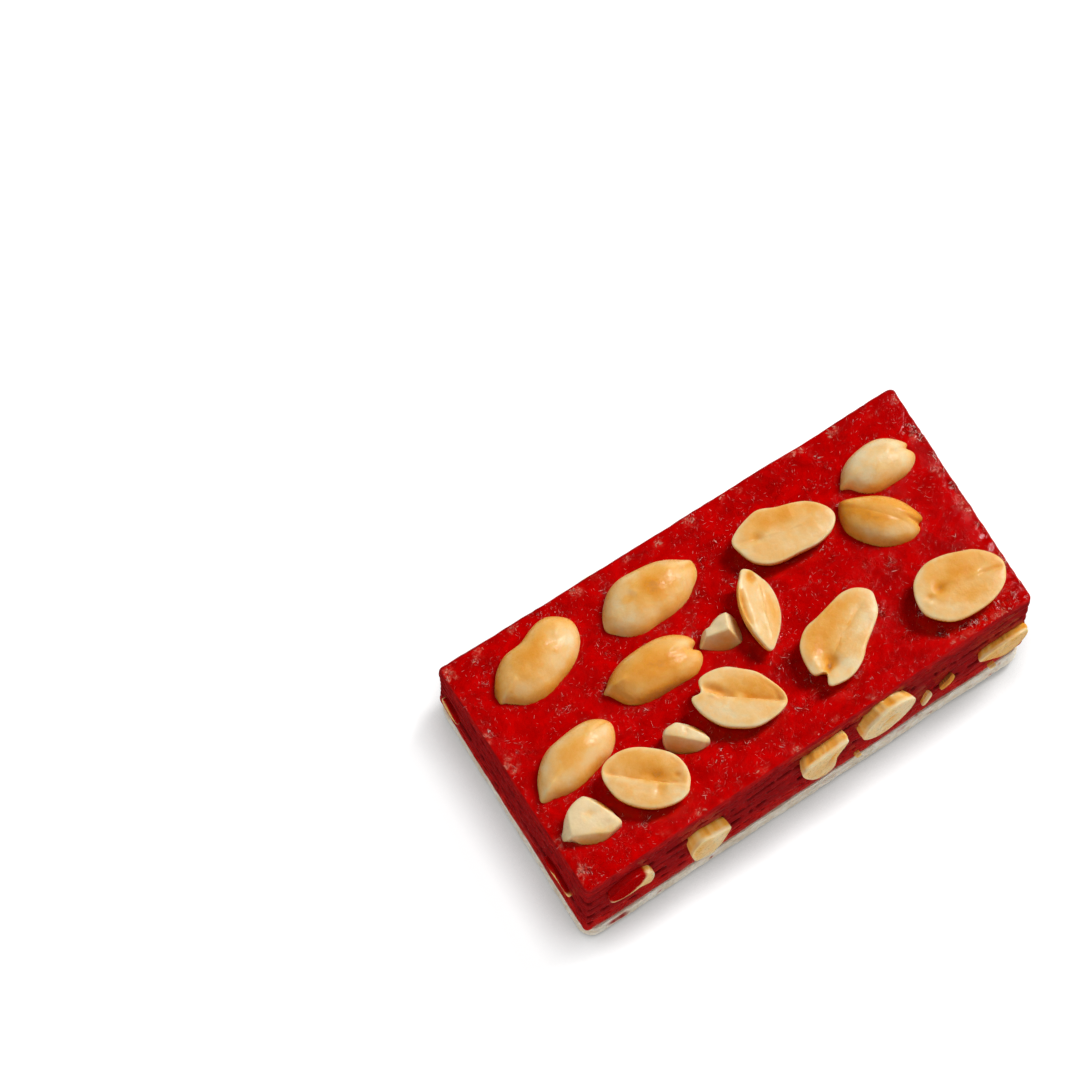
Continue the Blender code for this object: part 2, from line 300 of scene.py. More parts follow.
class NodeSheet:
    """A material's node tree, with short calls for the nodes that the finishes share."""

    def __init__(self, name: str) -> None:
        """Makes the material with an empty Principled shader.

        Args:
            name: The material's name.
        """
        self.material = bpy.data.materials.new(name)
        self.material.use_nodes = True
        self.tree = self.material.node_tree
        self.shader = self.tree.nodes["Principled BSDF"]
        self.place = self.add("ShaderNodeTexCoord").outputs["Object"]

    def add(self, kind: str, **settings: object) -> bpy.types.Node:
        """Adds a node.

        Args:
            kind: The node's type.
            settings: Values for the node's own properties.

        Returns:
            The node.
        """
        node = self.tree.nodes.new(kind)
        for key, value in settings.items():
            setattr(node, key, value)
        return node

    def wire(self, source: object, target: Socket) -> None:
        """Links an output to an input, or sets the input to a plain value.

        Args:
            source: An output socket, a number or a colour.
            target: The input socket.
        """
        if isinstance(source, Socket):
            self.tree.links.new(source, target)
        else:
            target.default_value = source

    def number(self, name: str) -> Socket:
        """The piece's stored number of that name."""
        return self.add("ShaderNodeAttribute", attribute_name=name).outputs["Fac"]

    def maths(self, kind: str, first: object, second: object, third: object = 0.0) -> Socket:
        """One sum on numbers.

        Args:
            kind: The operation.
            first: The first number or output.
            second: The second.
            third: The third, where the operation takes one.

        Returns:
            The result's output.
        """
        node = self.add("ShaderNodeMath", operation=kind)
        for value, socket in zip((first, second, third), node.inputs):
            self.wire(value, socket)
        return node.outputs[0]

    def times(self, first: Socket, *others: Socket) -> Socket:
        """The product of some numbers."""
        for other in others:
            first = self.maths("MULTIPLY", first, other)
        return first

    def crests(self, pattern: Socket) -> Socket:
        """The thin lines along which a pattern crosses its middle, 1 on the line."""
        away = self.maths("ABSOLUTE", self.maths("MULTIPLY_ADD", pattern, 4.0, -2.0), 0.0)
        return self.maths("SUBTRACT", 1.0, away)

    def stretched(self, scale: Sequence[float], turn: Sequence[float] = (0.0, 0.0, 0.0)) -> Socket:
        """The object coordinates, turned and scaled.

        Args:
            scale: Repeats for each metre, along each axis.
            turn: The turn about each axis, in degrees.

        Returns:
            The coordinates' output.
        """
        node = self.add("ShaderNodeMapping", vector_type="POINT")
        self.wire(self.place, node.inputs["Vector"])
        node.inputs["Rotation"].default_value = [math.radians(angle) for angle in turn]
        node.inputs["Scale"].default_value = scale
        return node.outputs["Vector"]

    def grain(
        self, where: Socket, size: float, detail: float = 2.0, rough: float = 0.5, warp: float = 0.0
    ) -> Socket:
        """A noise pattern.

        Args:
            where: The coordinates' output.
            size: The pattern's size in millimetres on unscaled coordinates.
            detail: How many finer patterns it has.
            rough: How strong the finer ones are.
            warp: How far it is pulled about.

        Returns:
            The pattern's output, from 0 to 1.
        """
        node = self.add("ShaderNodeTexNoise")
        self.wire(where, node.inputs["Vector"])
        node.inputs["Scale"].default_value = 1.0 / (size * MM)
        node.inputs["Detail"].default_value = detail
        node.inputs["Roughness"].default_value = rough
        node.inputs["Distortion"].default_value = warp
        return node.outputs["Fac"]

    def between(
        self, value: Socket, low: float, high: float, to_low: float = 0.0, to_high: float = 1.0
    ) -> Socket:
        """Maps a number smoothly from one span to another.

        Args:
            value: The number's output.
            low: The start of its span.
            high: The end of its span.
            to_low: What low becomes.
            to_high: What high becomes.

        Returns:
            The mapped number's output.
        """
        node = self.add("ShaderNodeMapRange", interpolation_type="SMOOTHSTEP")
        for number, socket in zip((value, low, high, to_low, to_high), node.inputs):
            self.wire(number, socket)
        return node.outputs["Result"]

    def colours(self, value: object, stops: Sequence[tuple[float, Sequence[float]]]) -> Socket:
        """A run of colours.

        Args:
            value: The number's output that picks the colour.
            stops: Each stop's place and its linear red, green and blue.

        Returns:
            The colour's output.
        """
        node = self.add("ShaderNodeValToRGB")
        ramp = node.color_ramp
        while len(ramp.elements) < len(stops):
            ramp.elements.new(1.0)
        for element, (place, colour) in zip(ramp.elements, stops):
            element.position = place
            element.color = (*colour, 1.0)
        self.wire(value, node.inputs["Fac"])
        return node.outputs["Color"]

    def mix(self, share: object, first: object, second: object) -> Socket:
        """Mixes two colours.

        Args:
            share: How much of the second.
            first: The first colour or output.
            second: The second.

        Returns:
            The mixed colour's output.
        """
        node = self.add("ShaderNodeMix", data_type="RGBA")
        self.wire(share, node.inputs[0])
        for colour, socket in ((first, node.inputs[6]), (second, node.inputs[7])):
            self.wire(colour if isinstance(colour, Socket) else (*colour, 1.0), socket)
        return node.outputs[2]

    def bumps(self, *layers: tuple[object, float]) -> None:
        """Stacks height patterns on the shader's normal.

        Args:
            layers: Each pattern's output and its height in millimetres.
        """
        normal = None
        for height, distance in layers:
            node = self.add("ShaderNodeBump")
            node.inputs["Strength"].default_value = 1.0
            node.inputs["Distance"].default_value = distance * MM
            self.wire(height, node.inputs["Height"])
            if normal is not None:
                self.wire(normal, node.inputs["Normal"])
            normal = node.outputs["Normal"]
        self.wire(normal, self.shader.inputs["Normal"])

    def skin(self, roughness: object, glow: float, reach: Sequence[float], ior: float = 1.45) -> None:
        """Sets the shader's gloss and the light that passes under its surface.

        Args:
            roughness: The roughness, a number or an output.
            glow: The share of light that goes under the surface.
            reach: How far red, green and blue light go, in millimetres.
            ior: The index of refraction.
        """
        inputs = self.shader.inputs
        self.wire(roughness, inputs["Roughness"])
        inputs["Subsurface Weight"].default_value = glow
        inputs["Subsurface Radius"].default_value = [max(far / max(reach), 0.001) for far in reach]
        inputs["Subsurface Scale"].default_value = max(reach) * MM
        inputs["IOR"].default_value = ior


@dataclass(frozen=True)
class JellyFinish:
    """Glossy translucent red fruit jelly, grainy and lightly wrinkled on top."""

    name: str = "red_jelly_skin"
    shine: float = 0.5
    deep: Colour = (0.40, 0.0, 0.0)
    bright: Colour = (0.66, 0.0, 0.0)
    # The pale edge patches: partly scraps, partly painted glow through thin flaps and a painted highlight
    # along the right edge.
    scraps_and_glow: Colour = (0.85, 0.24, 0.16)
    frost_low: Colour = (0.70, 0.04, 0.03)
    # Pale specks: partly fine fibres, partly painted glints.
    speck: Colour = (0.84, 0.15, 0.12)
    shade: Colour = (0.05, 0.0, 0.0)
    cut_deep: Colour = (0.23, 0.005, 0.006)
    cut_wine: Colour = (0.31, 0.006, 0.007)
    cut_bright: Colour = (0.56, 0.008, 0.006)
    along_sheets: Triple = (0.6, 0.6, 1.0)
    side_roughness: float = 0.16

    def build(self) -> Material:
        """Makes the material."""
        sheet = NodeSheet(self.name)
        sheet.shader.inputs["Specular IOR Level"].default_value = self.shine
        side = sheet.number("side")
        top = sheet.maths("SUBTRACT", 1.0, side)
        fine = sheet.grain(sheet.place, 0.4, 3.0, 0.7, 0.8)
        often = sheet.between(sheet.number("fibres_and_glints"), 0.42, 0.95)
        hairs = self.hairs(sheet, top)
        colour = sheet.mix(side, self.top_colour(sheet, fine, hairs, often), self.cut_colour(sheet))
        colour = sheet.mix(sheet.number("crack"), colour, self.shade)
        sheet.wire(colour, sheet.shader.inputs["Base Color"])
        gloss = sheet.between(sheet.grain(sheet.place, 2.2, 2.0), 0.3, 0.7, 0.08, 0.16)
        roughness = sheet.maths("MULTIPLY_ADD", side, self.side_roughness, gloss)
        sheet.skin(roughness, 0.22, (0.8, 0.08, 0.06), 1.40)
        swell = sheet.grain(sheet.place, 1.7, 2.0, 0.5)
        ridge = sheet.crests(sheet.grain(sheet.place, 0.8, 1.0, 0.6, 1.6))
        ridge = sheet.times(sheet.between(ridge, 0.62, 1.0), sheet.times(sheet.number("wrinkle"), top))
        beads = sheet.between(sheet.grain(sheet.place, 0.42, 1.0), 0.56, 0.72)
        beads = sheet.times(beads, sheet.times(often, top))
        bands = sheet.times(sheet.grain(sheet.stretched(self.along_sheets), 0.7, 2.0, 0.6, 0.6), side)
        hairs = sheet.times(hairs, often)
        sheet.bumps((swell, 0.03), (fine, 0.012), (ridge, 0.22), (hairs, 0.10), (beads, 0.09), (bands, 0.02))
        return sheet.material

    def hairs(self, sheet: NodeSheet, top: Socket) -> Socket:
        """Short broken hairlines on the top face.

        Args:
            sheet: The material's nodes.
            top: 1 on the top face and 0 on the sides.

        Returns:
            1 on a hairline.
        """
        lines = sheet.crests(sheet.grain(sheet.place, 0.55, 2.0, 0.6, 2.2))
        broken = sheet.between(sheet.grain(sheet.place, 0.7, 1.0), 0.54, 0.62)
        return sheet.times(sheet.between(lines, 0.84, 0.97), broken, top)

    def top_colour(self, sheet: NodeSheet, fine: Socket, hairs: Socket, often: Socket) -> Socket:
        """The colour of the top: red with darker patches, pale patches at the back edge that are partly
        scraps and partly painted glow, and pale specks that are partly fibres and partly painted glints.

        Args:
            sheet: The material's nodes.
            fine: The finest pattern.
            hairs: 1 on a hairline.
            often: How thick hairlines and specks lie at each place.

        Returns:
            The colour's output.
        """
        patches = sheet.grain(sheet.place, 3.5, 4.0, 0.75, 0.4)
        colour = sheet.colours(patches, ((0.34, self.deep), (0.66, self.bright)))
        # Painted light: pale patches along the edges, partly scraps and partly painted glow through thin
        # raised flaps, with a painted highlight along the right edge.
        scraps_and_glow = sheet.times(sheet.number("scraps_and_glow"), sheet.between(fine, 0.42, 0.60, 0.1, 1.0))
        pale = sheet.colours(sheet.grain(sheet.place, 0.8, 2.0), ((0.4, self.frost_low), (0.62, self.scraps_and_glow)))
        colour = sheet.mix(scraps_and_glow, colour, pale)
        # Painted glints: pale specks on the hairlines and in the wrinkles, partly fine fibres in the skin.
        specks = sheet.times(sheet.between(fine, 0.60, 0.68), sheet.number("wrinkle"))
        specks = sheet.maths("MAXIMUM", hairs, specks)
        return sheet.mix(sheet.times(specks, often), colour, self.speck)

    def cut_colour(self, sheet: NodeSheet) -> Socket:
        """The colour of the cut sides: wine red streaks, brighter in a band near the base, with a painted
        highlight at the top edge.
        """
        streak = sheet.grain(sheet.stretched(self.along_sheets), 1.6, 3.0, 0.65, 0.4)
        level = sheet.maths("MULTIPLY_ADD", streak, 0.12, sheet.number("level"))
        low = sheet.between(level, 0.22, 0.36, 0.22, 0.0)
        # Painted highlight: brighter just under the rounded top edge.
        high = sheet.between(level, 0.92, 1.04, 0.0, 0.14)
        shade = sheet.maths("ADD", streak, sheet.maths("ADD", low, high))
        return sheet.colours(shade, ((0.24, self.cut_deep), (0.56, self.cut_wine), (0.90, self.cut_bright)))


@dataclass(frozen=True)
class NougatFinish:
    """Soft white nougat: warm, matt, finely pored, with a few red stains near the jelly."""

    pale: Colour = (0.93, 0.86, 0.74)
    warm: Colour = (0.80, 0.68, 0.52)
    stain: Colour = (0.42, 0.02, 0.02)

    def build(self) -> Material:
        """Makes the material."""
        sheet = NodeSheet("white_nougat_slab")
        patches = sheet.grain(sheet.place, 2.4, 3.0, 0.6)
        colour = sheet.colours(patches, ((0.35, self.warm), (0.62, self.pale)))
        colour = sheet.mix(sheet.number("stain"), colour, self.stain)
        sheet.wire(colour, sheet.shader.inputs["Base Color"])
        sheet.skin(0.62, 0.35, (1.2, 1.0, 0.8), 1.4)
        pores = sheet.between(sheet.grain(sheet.place, 0.5, 2.0, 0.6), 0.25, 0.5)
        sheet.bumps((patches, 0.25), (pores, 0.10))
        return sheet.material


@dataclass(frozen=True)
class PeanutFinish:
    """Blanched roasted peanut, from cream to brown as each vertex's tone says."""

    chalk: Colour = (0.92, 0.72, 0.43)
    cream: Colour = (0.94, 0.63, 0.29)
    straw: Colour = (0.90, 0.47, 0.11)
    golden: Colour = (0.84, 0.34, 0.032)
    brown: Colour = (0.48, 0.17, 0.03)
    dark: Colour = (0.18, 0.05, 0.01)
    film: Colour = (0.44, 0.0, 0.0)

    def build(self) -> Material:
        """Makes the material."""
        sheet = NodeSheet("roasted_peanut")
        cloud = sheet.grain(sheet.place, 2.6, 3.0, 0.55)
        fleck = sheet.grain(sheet.place, 0.5, 2.0, 0.6)
        # The tone holds each nut's own colour and also painted shade and highlights.
        tone = sheet.number("tone")
        tone = sheet.maths("ADD", tone, sheet.between(cloud, 0.3, 0.7, -0.08, 0.08))
        tone = sheet.maths("ADD", tone, sheet.between(fleck, 0.3, 0.7, -0.03, 0.03))
        stops = (
            (0.0, self.chalk), (0.13, self.cream), (0.36, self.straw), (0.6, self.golden),
            (0.85, self.brown), (1.0, self.dark),
        )
        colour = sheet.colours(tone, stops)
        film = sheet.number("film")
        colour = sheet.mix(film, colour, self.film)
        sheet.wire(colour, sheet.shader.inputs["Base Color"])
        rough = sheet.between(fleck, 0.3, 0.7, 0.24, 0.36)
        rough = sheet.maths("SUBTRACT", rough, sheet.maths("MULTIPLY", film, 0.08))
        sheet.skin(rough, 0.6, (1.2, 0.9, 0.6), 1.4)
        sheet.bumps((cloud, 0.14), (fleck, 0.02))
        return sheet.material


@dataclass(frozen=True)
class FleckFinish:
    """The pale pinkish pieces in the jelly's skin: fibres and scraps, partly coloured as painted glints and
    glow, and bright wisps that are painted glints.
    """

    name: str = "pale_threads"
    low: Colour = (0.62, 0.03, 0.03)
    high: Colour = (0.90, 0.36, 0.32)
    roughness: float = 0.25
    patch: float = 0.9

    def build(self) -> Material:
        """Makes the material."""
        sheet = NodeSheet(self.name)
        patches = sheet.grain(sheet.place, self.patch, 2.0)
        colour = sheet.colours(patches, ((0.38, self.low), (0.66, self.high)))
        sheet.wire(colour, sheet.shader.inputs["Base Color"])
        sheet.skin(self.roughness, 0.4, (1.0, 0.2, 0.15), 1.45)
        sheet.bumps((sheet.grain(sheet.place, 0.3, 1.0), 0.02))
        return sheet.material


@dataclass(frozen=True)
class FloorFinish:
    """The plain pale floor: a white panel that glows, with a painted contact shadow where its glow fades
    close to the bar.
    """

    colour: Colour = (0.40, 0.40, 0.40)
    glow: float = 0.9
    reach: float = 8.0
    fade: float = 1.6

    def build(self) -> Material:
        """Makes the material."""
        sheet = NodeSheet("plain_floor")
        inputs = sheet.shader.inputs
        sheet.wire((*self.colour, 1.0), inputs["Base Color"])
        inputs["Roughness"].default_value = 0.9
        inputs["Specular IOR Level"].default_value = 0.0
        inputs["Emission Color"].default_value = (1.0, 1.0, 1.0, 1.0)
        # Painted shadow: ambient occlusion dims the floor's glow close to the bar.
        open_share = sheet.add("ShaderNodeAmbientOcclusion", samples=8)
        open_share.inputs["Distance"].default_value = self.reach * MM
        glow = sheet.maths("MULTIPLY", sheet.maths("POWER", open_share.outputs["AO"], self.fade), self.glow)
        sheet.wire(glow, inputs["Emission Strength"])
        return sheet.material


# The peanuts.


@dataclass(frozen=True)
class Mark:
    """A dent, crease or tint on a kernel's face, in the kernel's own millimetres and degrees."""

    kind: MarkKind
    x: float
    y: float
    long: float
    wide: float
    turn: float
    amount: float
    skew: float = 1.0

    def strength(self, x: Array, y: Array) -> Array:
        """How strongly the mark acts at some places of the face.

        Args:
            x: Places along the kernel.
            y: Places across it.

        Returns:
            From 0 to 1, times the mark's amount.
        """
        along, across = turned_axes(x - self.x, y - self.y, self.turn)
        if self.kind is MarkKind.CREASE:
            past = np.maximum(0.0, np.abs(along) - self.long)
            end = np.exp(-((past / (0.3 * self.long + 0.2)) ** 2))
            reach = np.where(across < 0, self.wide, self.wide * self.skew)
            return self.amount * end * np.exp(-np.abs(across) / reach)
        off = (along / self.long) ** 2 + (across / self.wide) ** 2
        return self.amount * np.exp(-(off**2 if self.kind is MarkKind.SPOT else off))


def dent(x: float, y: float, long: float, wide: float, turn: float, deep: float) -> Mark:
    """A rounded dent, or a bump where deep is negative."""
    return Mark(MarkKind.DENT, x, y, long, wide, turn, deep)


def crease(x: float, y: float, half: float, near: float, turn: float, deep: float, skew: float = 1.0) -> Mark:
    """A line pressed in, whose far side is skew times as wide as its near side."""
    return Mark(MarkKind.CREASE, x, y, half, near, turn, deep, skew)


def tint(x: float, y: float, long: float, wide: float, turn: float, tone: float) -> Mark:
    """A darker patch, or a paler one where tone is negative."""
    return Mark(MarkKind.TINT, x, y, long, wide, turn, tone)


def spot(x: float, y: float, long: float, wide: float, turn: float, tone: float) -> Mark:
    """A darker patch with a clear border, or a paler one where tone is negative."""
    return Mark(MarkKind.SPOT, x, y, long, wide, turn, tone)


def film(x: float, y: float, long: float, wide: float, turn: float, amount: float) -> Mark:
    """A patch that is covered by a film of red jelly."""
    return Mark(MarkKind.FILM, x, y, long, wide, turn, amount)


def through(points: Sequence[Point], count: int, round_passes: int) -> Array:
    """A closed smooth curve through some points.

    Args:
        points: The points, in order round the outline.
        count: How many evenly spaced points come back.
        round_passes: How often the curve is smoothed.

    Returns:
        One row of x and y for each point.
    """
    given = np.array(points, float)
    dense = []
    for number in range(len(given)):
        before, here, after, beyond = (given[(number + step) % len(given)] for step in (-1, 0, 1, 2))
        for share in np.linspace(0, 1, 16, endpoint=False):
            dense.append(
                0.5
                * (
                    2 * here
                    + (after - before) * share
                    + (2 * before - 5 * here + 4 * after - beyond) * share**2
                    + (3 * here - before - 3 * after + beyond) * share**3
                )
            )
    loop = np.array(dense + [dense[0]])
    run = np.concatenate([[0], np.cumsum(np.linalg.norm(np.diff(loop, axis=0), axis=1))])
    at = np.linspace(0, run[-1], count, endpoint=False)
    even = np.stack([np.interp(at, run, loop[:, axis]) for axis in (0, 1)], axis=1)
    for _ in range(round_passes):
        even = (np.roll(even, 1, axis=0) + 2 * even + np.roll(even, -1, axis=0)) / 4
    return even


@dataclass(frozen=True)
class Profile:
    """How a kernel's upper or lower side goes from its middle to its rim.

    The reach from the middle is sin to the power of spread, and the height cos to the power of crown.
    """

    height: float
    spread: float
    crown: float
    rings: int

    def steps(self) -> tuple[Array, Array]:
        """The reach and height of each ring, from the middle out, without the middle and the rim."""
        angle = np.linspace(0, math.pi / 2, self.rings + 2)[1:-1]
        return np.sin(angle) ** self.spread, self.height * np.cos(angle) ** self.crown


@dataclass(frozen=True)
class Plane:
    """A broken face of a bit: its height above the rim at the middle, and its slope along and across."""

    height: float
    along: float
    across: float


@dataclass(frozen=True)
class Kernel:
    """One piece of peanut: an outline, a lie, and the marks on its upper face."""

    node: str
    x: float
    y: float
    turn: float
    lie: Lie
    outline: tuple[Point, ...]
    deep: float = 4.2
    tone: float = 0.3
    tilt: float = 0.0
    marks: tuple[Mark, ...] = ()
    planes: tuple[Plane, ...] = ()
    sharp: float = 0.35
    around: int = 112
    size: float = 1.0
    dome_sink: float = 0.9
    face_rise: float = 2.5
    bit_sink: float = 0.6

    def upper(self) -> Profile:
        """The profile of the side that shows."""
        if self.lie is Lie.DOME_UP:
            return Profile(self.deep, 0.95, 0.78, 34)
        if self.lie is Lie.FACE_UP:
            return Profile(0.5, 0.5, 0.42, 34)
        return Profile(1.0, 0.62, 0.14, 28)

    def lower(self) -> Profile:
        """The profile of the side that lies in the jelly."""
        if self.lie is Lie.FACE_UP:
            return Profile(-self.deep, 1.2, 1.0, 16)
        return Profile(-0.5, 0.5, 0.5, 5)

    def matrix(self) -> Matrix:
        """Where the kernel lies on the bar, in millimetres."""
        rise = {Lie.DOME_UP: -self.dome_sink, Lie.FACE_UP: self.face_rise}.get(self.lie, -self.bit_sink)
        place = Matrix.Translation((self.x, self.y, BAR.top_at(self.x, self.y) + rise))
        turn = Matrix.Rotation(math.radians(self.turn), 4, "Z")
        return place @ turn @ Matrix.Rotation(math.radians(self.tilt), 4, "X")

    def build(self, finish: Material) -> Piece:
        """Makes the kernel's mesh, puts it under the root and hides its node.

        Args:
            finish: The peanut material.

        Returns:
            The finished piece.
        """
        made = self.mesh_piece(self.matrix(), finish)
        belongs(made, Slot.PEANUT, self.node)
        return made

    def mesh_piece(self, matrix: Matrix, finish: Material) -> Piece:
        """Makes the mesh: rings from the middle of the upper side, over the rim, to the middle of the lower.

        Args:
            matrix: Where it goes, in millimetres.
            finish: The material.

        Returns:
            The piece.
        """
        broken = self.lie is Lie.BROKEN
        rim = through(self.outline, self.around, 0 if broken else 1) * self.size
        soft = through(self.outline, self.around, 5 if broken else 40) * self.size
        rings = []
        for side, profile in ((1, self.upper()), (-1, self.lower())):
            reach, height = profile.steps()
            rows = []
            for far, high in zip(reach, height):
                flat = far * (soft + (rim - soft) * far**4)
                rows.append(np.column_stack([flat, np.full(len(flat), high), np.full(len(flat), far)]))
            rings.append(rows if side == 1 else rows[::-1])
        edge = np.column_stack([rim, np.zeros(len(rim)), np.ones(len(rim))])
        middle_up = np.array([[0.0, 0.0, self.upper().height, 0.0]])
        middle_down = np.array([[0.0, 0.0, self.lower().height, 0.0]])
        upper_count = 1 + (len(rings[0]) + 1) * self.around
        points = np.concatenate([middle_up, *rings[0], edge, *rings[1], middle_down])
        is_upper = np.arange(len(points)) < upper_count
        local, tone, film_share = self.shaped(points, is_upper)
        faces = self.faces(len(rings[0]) + 1 + len(rings[1]))
        world = np.array(matrix)
        placed = local @ world[:3, :3].T + world[:3, 3]
        made = piece_from("kernel_" + self.node.removeprefix("peanut_"), placed, faces, finish)
        give_numbers(made, "tone", tone)
        give_numbers(made, "film", film_share)
        return made

    def shaped(self, points: Array, is_upper: Array) -> tuple[Array, Array, Array]:
        """Gives the plain rings their broken faces, marks and fine relief.

        Args:
            points: x, y, z and the reach from the middle, one row each.
            is_upper: Which rows lie on the upper side or the rim.

        Returns:
            The points, their tones, and how far each is covered by film.
        """
        x, y, z, reach = points.T.copy()
        if self.lie is Lie.BROKEN:
            facets = np.stack([p.height + p.along * x + p.across * y for p in self.planes])
            lowest = -self.sharp * np.log(np.exp(-facets / self.sharp).sum(axis=0))
            z = np.where(is_upper, -self.bit_sink + (lowest + self.bit_sink) * np.clip(z, 0, 1), z)
        inward = 1 - step_between(0.82, 1.0, reach)
        tone = np.full(len(x), self.tone)
        covered = np.zeros(len(x))
        for mark in self.marks:
            strength = mark.strength(x, y)
            if mark.kind is MarkKind.FILM:
                covered += strength
                continue
            strength = strength * is_upper
            if mark.kind in (MarkKind.TINT, MarkKind.SPOT):
                tone += strength
            else:
                z = z - strength * (0.25 + 0.75 * inward)
        seed = float(sum(map(ord, self.node)) % 97)
        flat = np.stack([x, y, z], axis=1)
        lumps = smooth_noise(flat, 3.2, seed, 2) * 0.09
        veins = smooth_noise(flat * (0.3, 1.0, 1.0), 0.8, seed + 5) * 0.012
        grow = (lumps + veins) * (0.3 + 0.7 * inward)
        z = z + np.where(is_upper, grow, 0.0)
        # Painted highlight: a paler line along the rim of a face.
        if self.lie is Lie.FACE_UP:
            tone = tone - 0.10 * step_between(0.86, 0.97, reach) * is_upper
        # Painted shade: domes grow darker and warmer towards the rim, like their shaded flanks.
        if self.lie is Lie.DOME_UP:
            tone = tone + 0.24 * step_between(0.72, 1.0, reach)
        # Painted shade: the sides under the rim take a darker, warmer tone.
        tone = np.where(is_upper, tone, self.tone + 0.34)
        return np.stack([x, y, z], axis=1), np.clip(tone, 0.0, 1.0), step_between(0.6, 1.4, covered)

    def faces(self, ring_count: int) -> list[tuple[int, ...]]:
        """The faces between the rings, and the two fans at the middles.

        Args:
            ring_count: How many rings there are, the rim among them.

        Returns:
            Each face's vertices, counter-clockwise seen from outside.
        """
        around = self.around
        last = 1 + ring_count * around
        made = [(0, 1 + k, 1 + (k + 1) % around) for k in range(around)]
        for ring in range(ring_count - 1):
            low = 1 + ring * around
            for k in range(around):
                after = (k + 1) % around
                made.append((low + k, low + around + k, low + around + after, low + after))
        low = last - around
        made.extend((low + k, last, low + (k + 1) % around) for k in range(around))
        return made

    def contact(self) -> Array:
        """The outline where the kernel meets the jelly, one row of x and y for each point, on the bar."""
        shrink = 0.84 if self.lie is Lie.FACE_UP else 0.97
        loop = through(self.outline, 64, 4) * shrink
        return np.stack(turned_axes(loop[:, 0], loop[:, 1], -self.turn), axis=1) + (self.x, self.y)


BACK_RIGHT = Kernel(
    "peanut_back_right", 33.9, 12.1, -5, Lie.DOME_UP,
    (
        (-7.3, -0.75), (-6.6, 0.45), (-5.7, 1.8), (-4.0, 3.1), (-1.2, 4.0), (1.5, 4.2), (3.6, 3.4),
        (5.2, 2.1), (5.9, 1.1), (5.2, 0.4), (6.0, -0.6), (6.0, -1.4), (5.1, -2.5), (3.2, -3.6),
        (0.0, -4.1), (-2.6, -4.1), (-4.6, -3.0), (-6.0, -1.3),
    ),
    deep=4.1, tone=0.04,
    marks=(
        crease(4.2, 0.4, 1.6, 0.4, 8, 0.35), tint(0.5, -1.0, 4.0, 2.2, 5, 0.12),
        tint(-1.0, -3.6, 3.5, 1.0, 0, 0.2), dent(-0.5, 1.6, 2.0, 0.7, 10, 0.12),
        dent(2.6, 1.6, 1.0, 0.8, 0, -0.12),
    ),
)
RIGHT = Kernel(
    "peanut_right", 28.8, 3.7, -55, Lie.DOME_UP,
    (
        (-7.4, 0.6), (-5.3, 2.1), (-1.9, 3.8), (1.2, 4.2), (4.0, 3.6), (5.6, 2.9), (5.9, 2.2),
        (5.3, 1.4), (6.2, 0.6), (5.7, -1.2), (3.8, -3.2), (1.3, -4.4), (-1.6, -4.6), (-4.5, -3.9),
        (-6.5, -1.9), (-7.2, -0.3),
    ),
    deep=4.2, tone=0.40,
    marks=(
        crease(-0.9, -0.2, 5.0, 1.5, 4, 0.26, 0.6), crease(4.9, 1.3, 0.9, 0.35, 6, 0.45),
        # Painted shade: both tints on the next line darken the lower half under the crease, which faces away
        # from the light.
        tint(-3.5, -0.9, 2.6, 1.1, 2, 0.22), tint(0.0, -1.0, 2.4, 0.9, 4, 0.14),
        tint(1.0, 2.0, 3.5, 1.4, 0, 0.10), tint(2.0, -2.8, 3.2, 1.4, 20, -0.26),
        tint(4.8, -0.3, 1.4, 1.0, 0, -0.24), tint(-1.5, -3.6, 2.0, 0.9, 0, -0.1),
        dent(1.6, 1.6, 1.5, 0.5, 5, -0.10), dent(3.4, 1.6, 0.8, 0.5, 0, -0.12),
        tint(-5.8, 0.8, 1.4, 1.0, 0, -0.12),
    ),
)
BACK_MIDDLE = Kernel(
    "peanut_back_middle", 14.6, 9.85, -19, Lie.FACE_UP,
    (
        (-8.7, 0.3), (-7.7, 1.9), (-5.7, 3.6), (-3.3, 4.9), (-0.4, 4.7), (2.4, 4.8), (4.6, 4.6),
        (6.6, 3.7), (8.2, 2.2), (8.5, 0.6), (7.3, -1.4), (4.8, -3.0), (1.4, -3.9), (-1.7, -4.7),
        (-4.0, -4.7), (-6.3, -3.7), (-7.9, -1.6),
    ),
    deep=4.1, tone=0.25, size=0.97,
    marks=(
        crease(-6.3, -0.2, 1.9, 0.35, 3, 0.32, 1.6), dent(-4.6, 0.3, 1.0, 0.65, 20, 0.3),
        tint(-4.7, 0.35, 1.1, 0.7, 20, 0.22), crease(-0.6, 0.3, 2.6, 0.25, 6, -0.12),
        crease(4.2, 0.4, 3.4, 0.5, 3, 0.10), tint(0.5, 3.0, 5.5, 1.6, 4, 0.22),
        tint(-2.4, 1.8, 2.4, 1.2, 0, 0.10), tint(2.5, -2.0, 4.5, 1.6, 18, -0.12),
        tint(-6.8, -1.6, 1.2, 1.0, 0, -0.1),
    ),
)
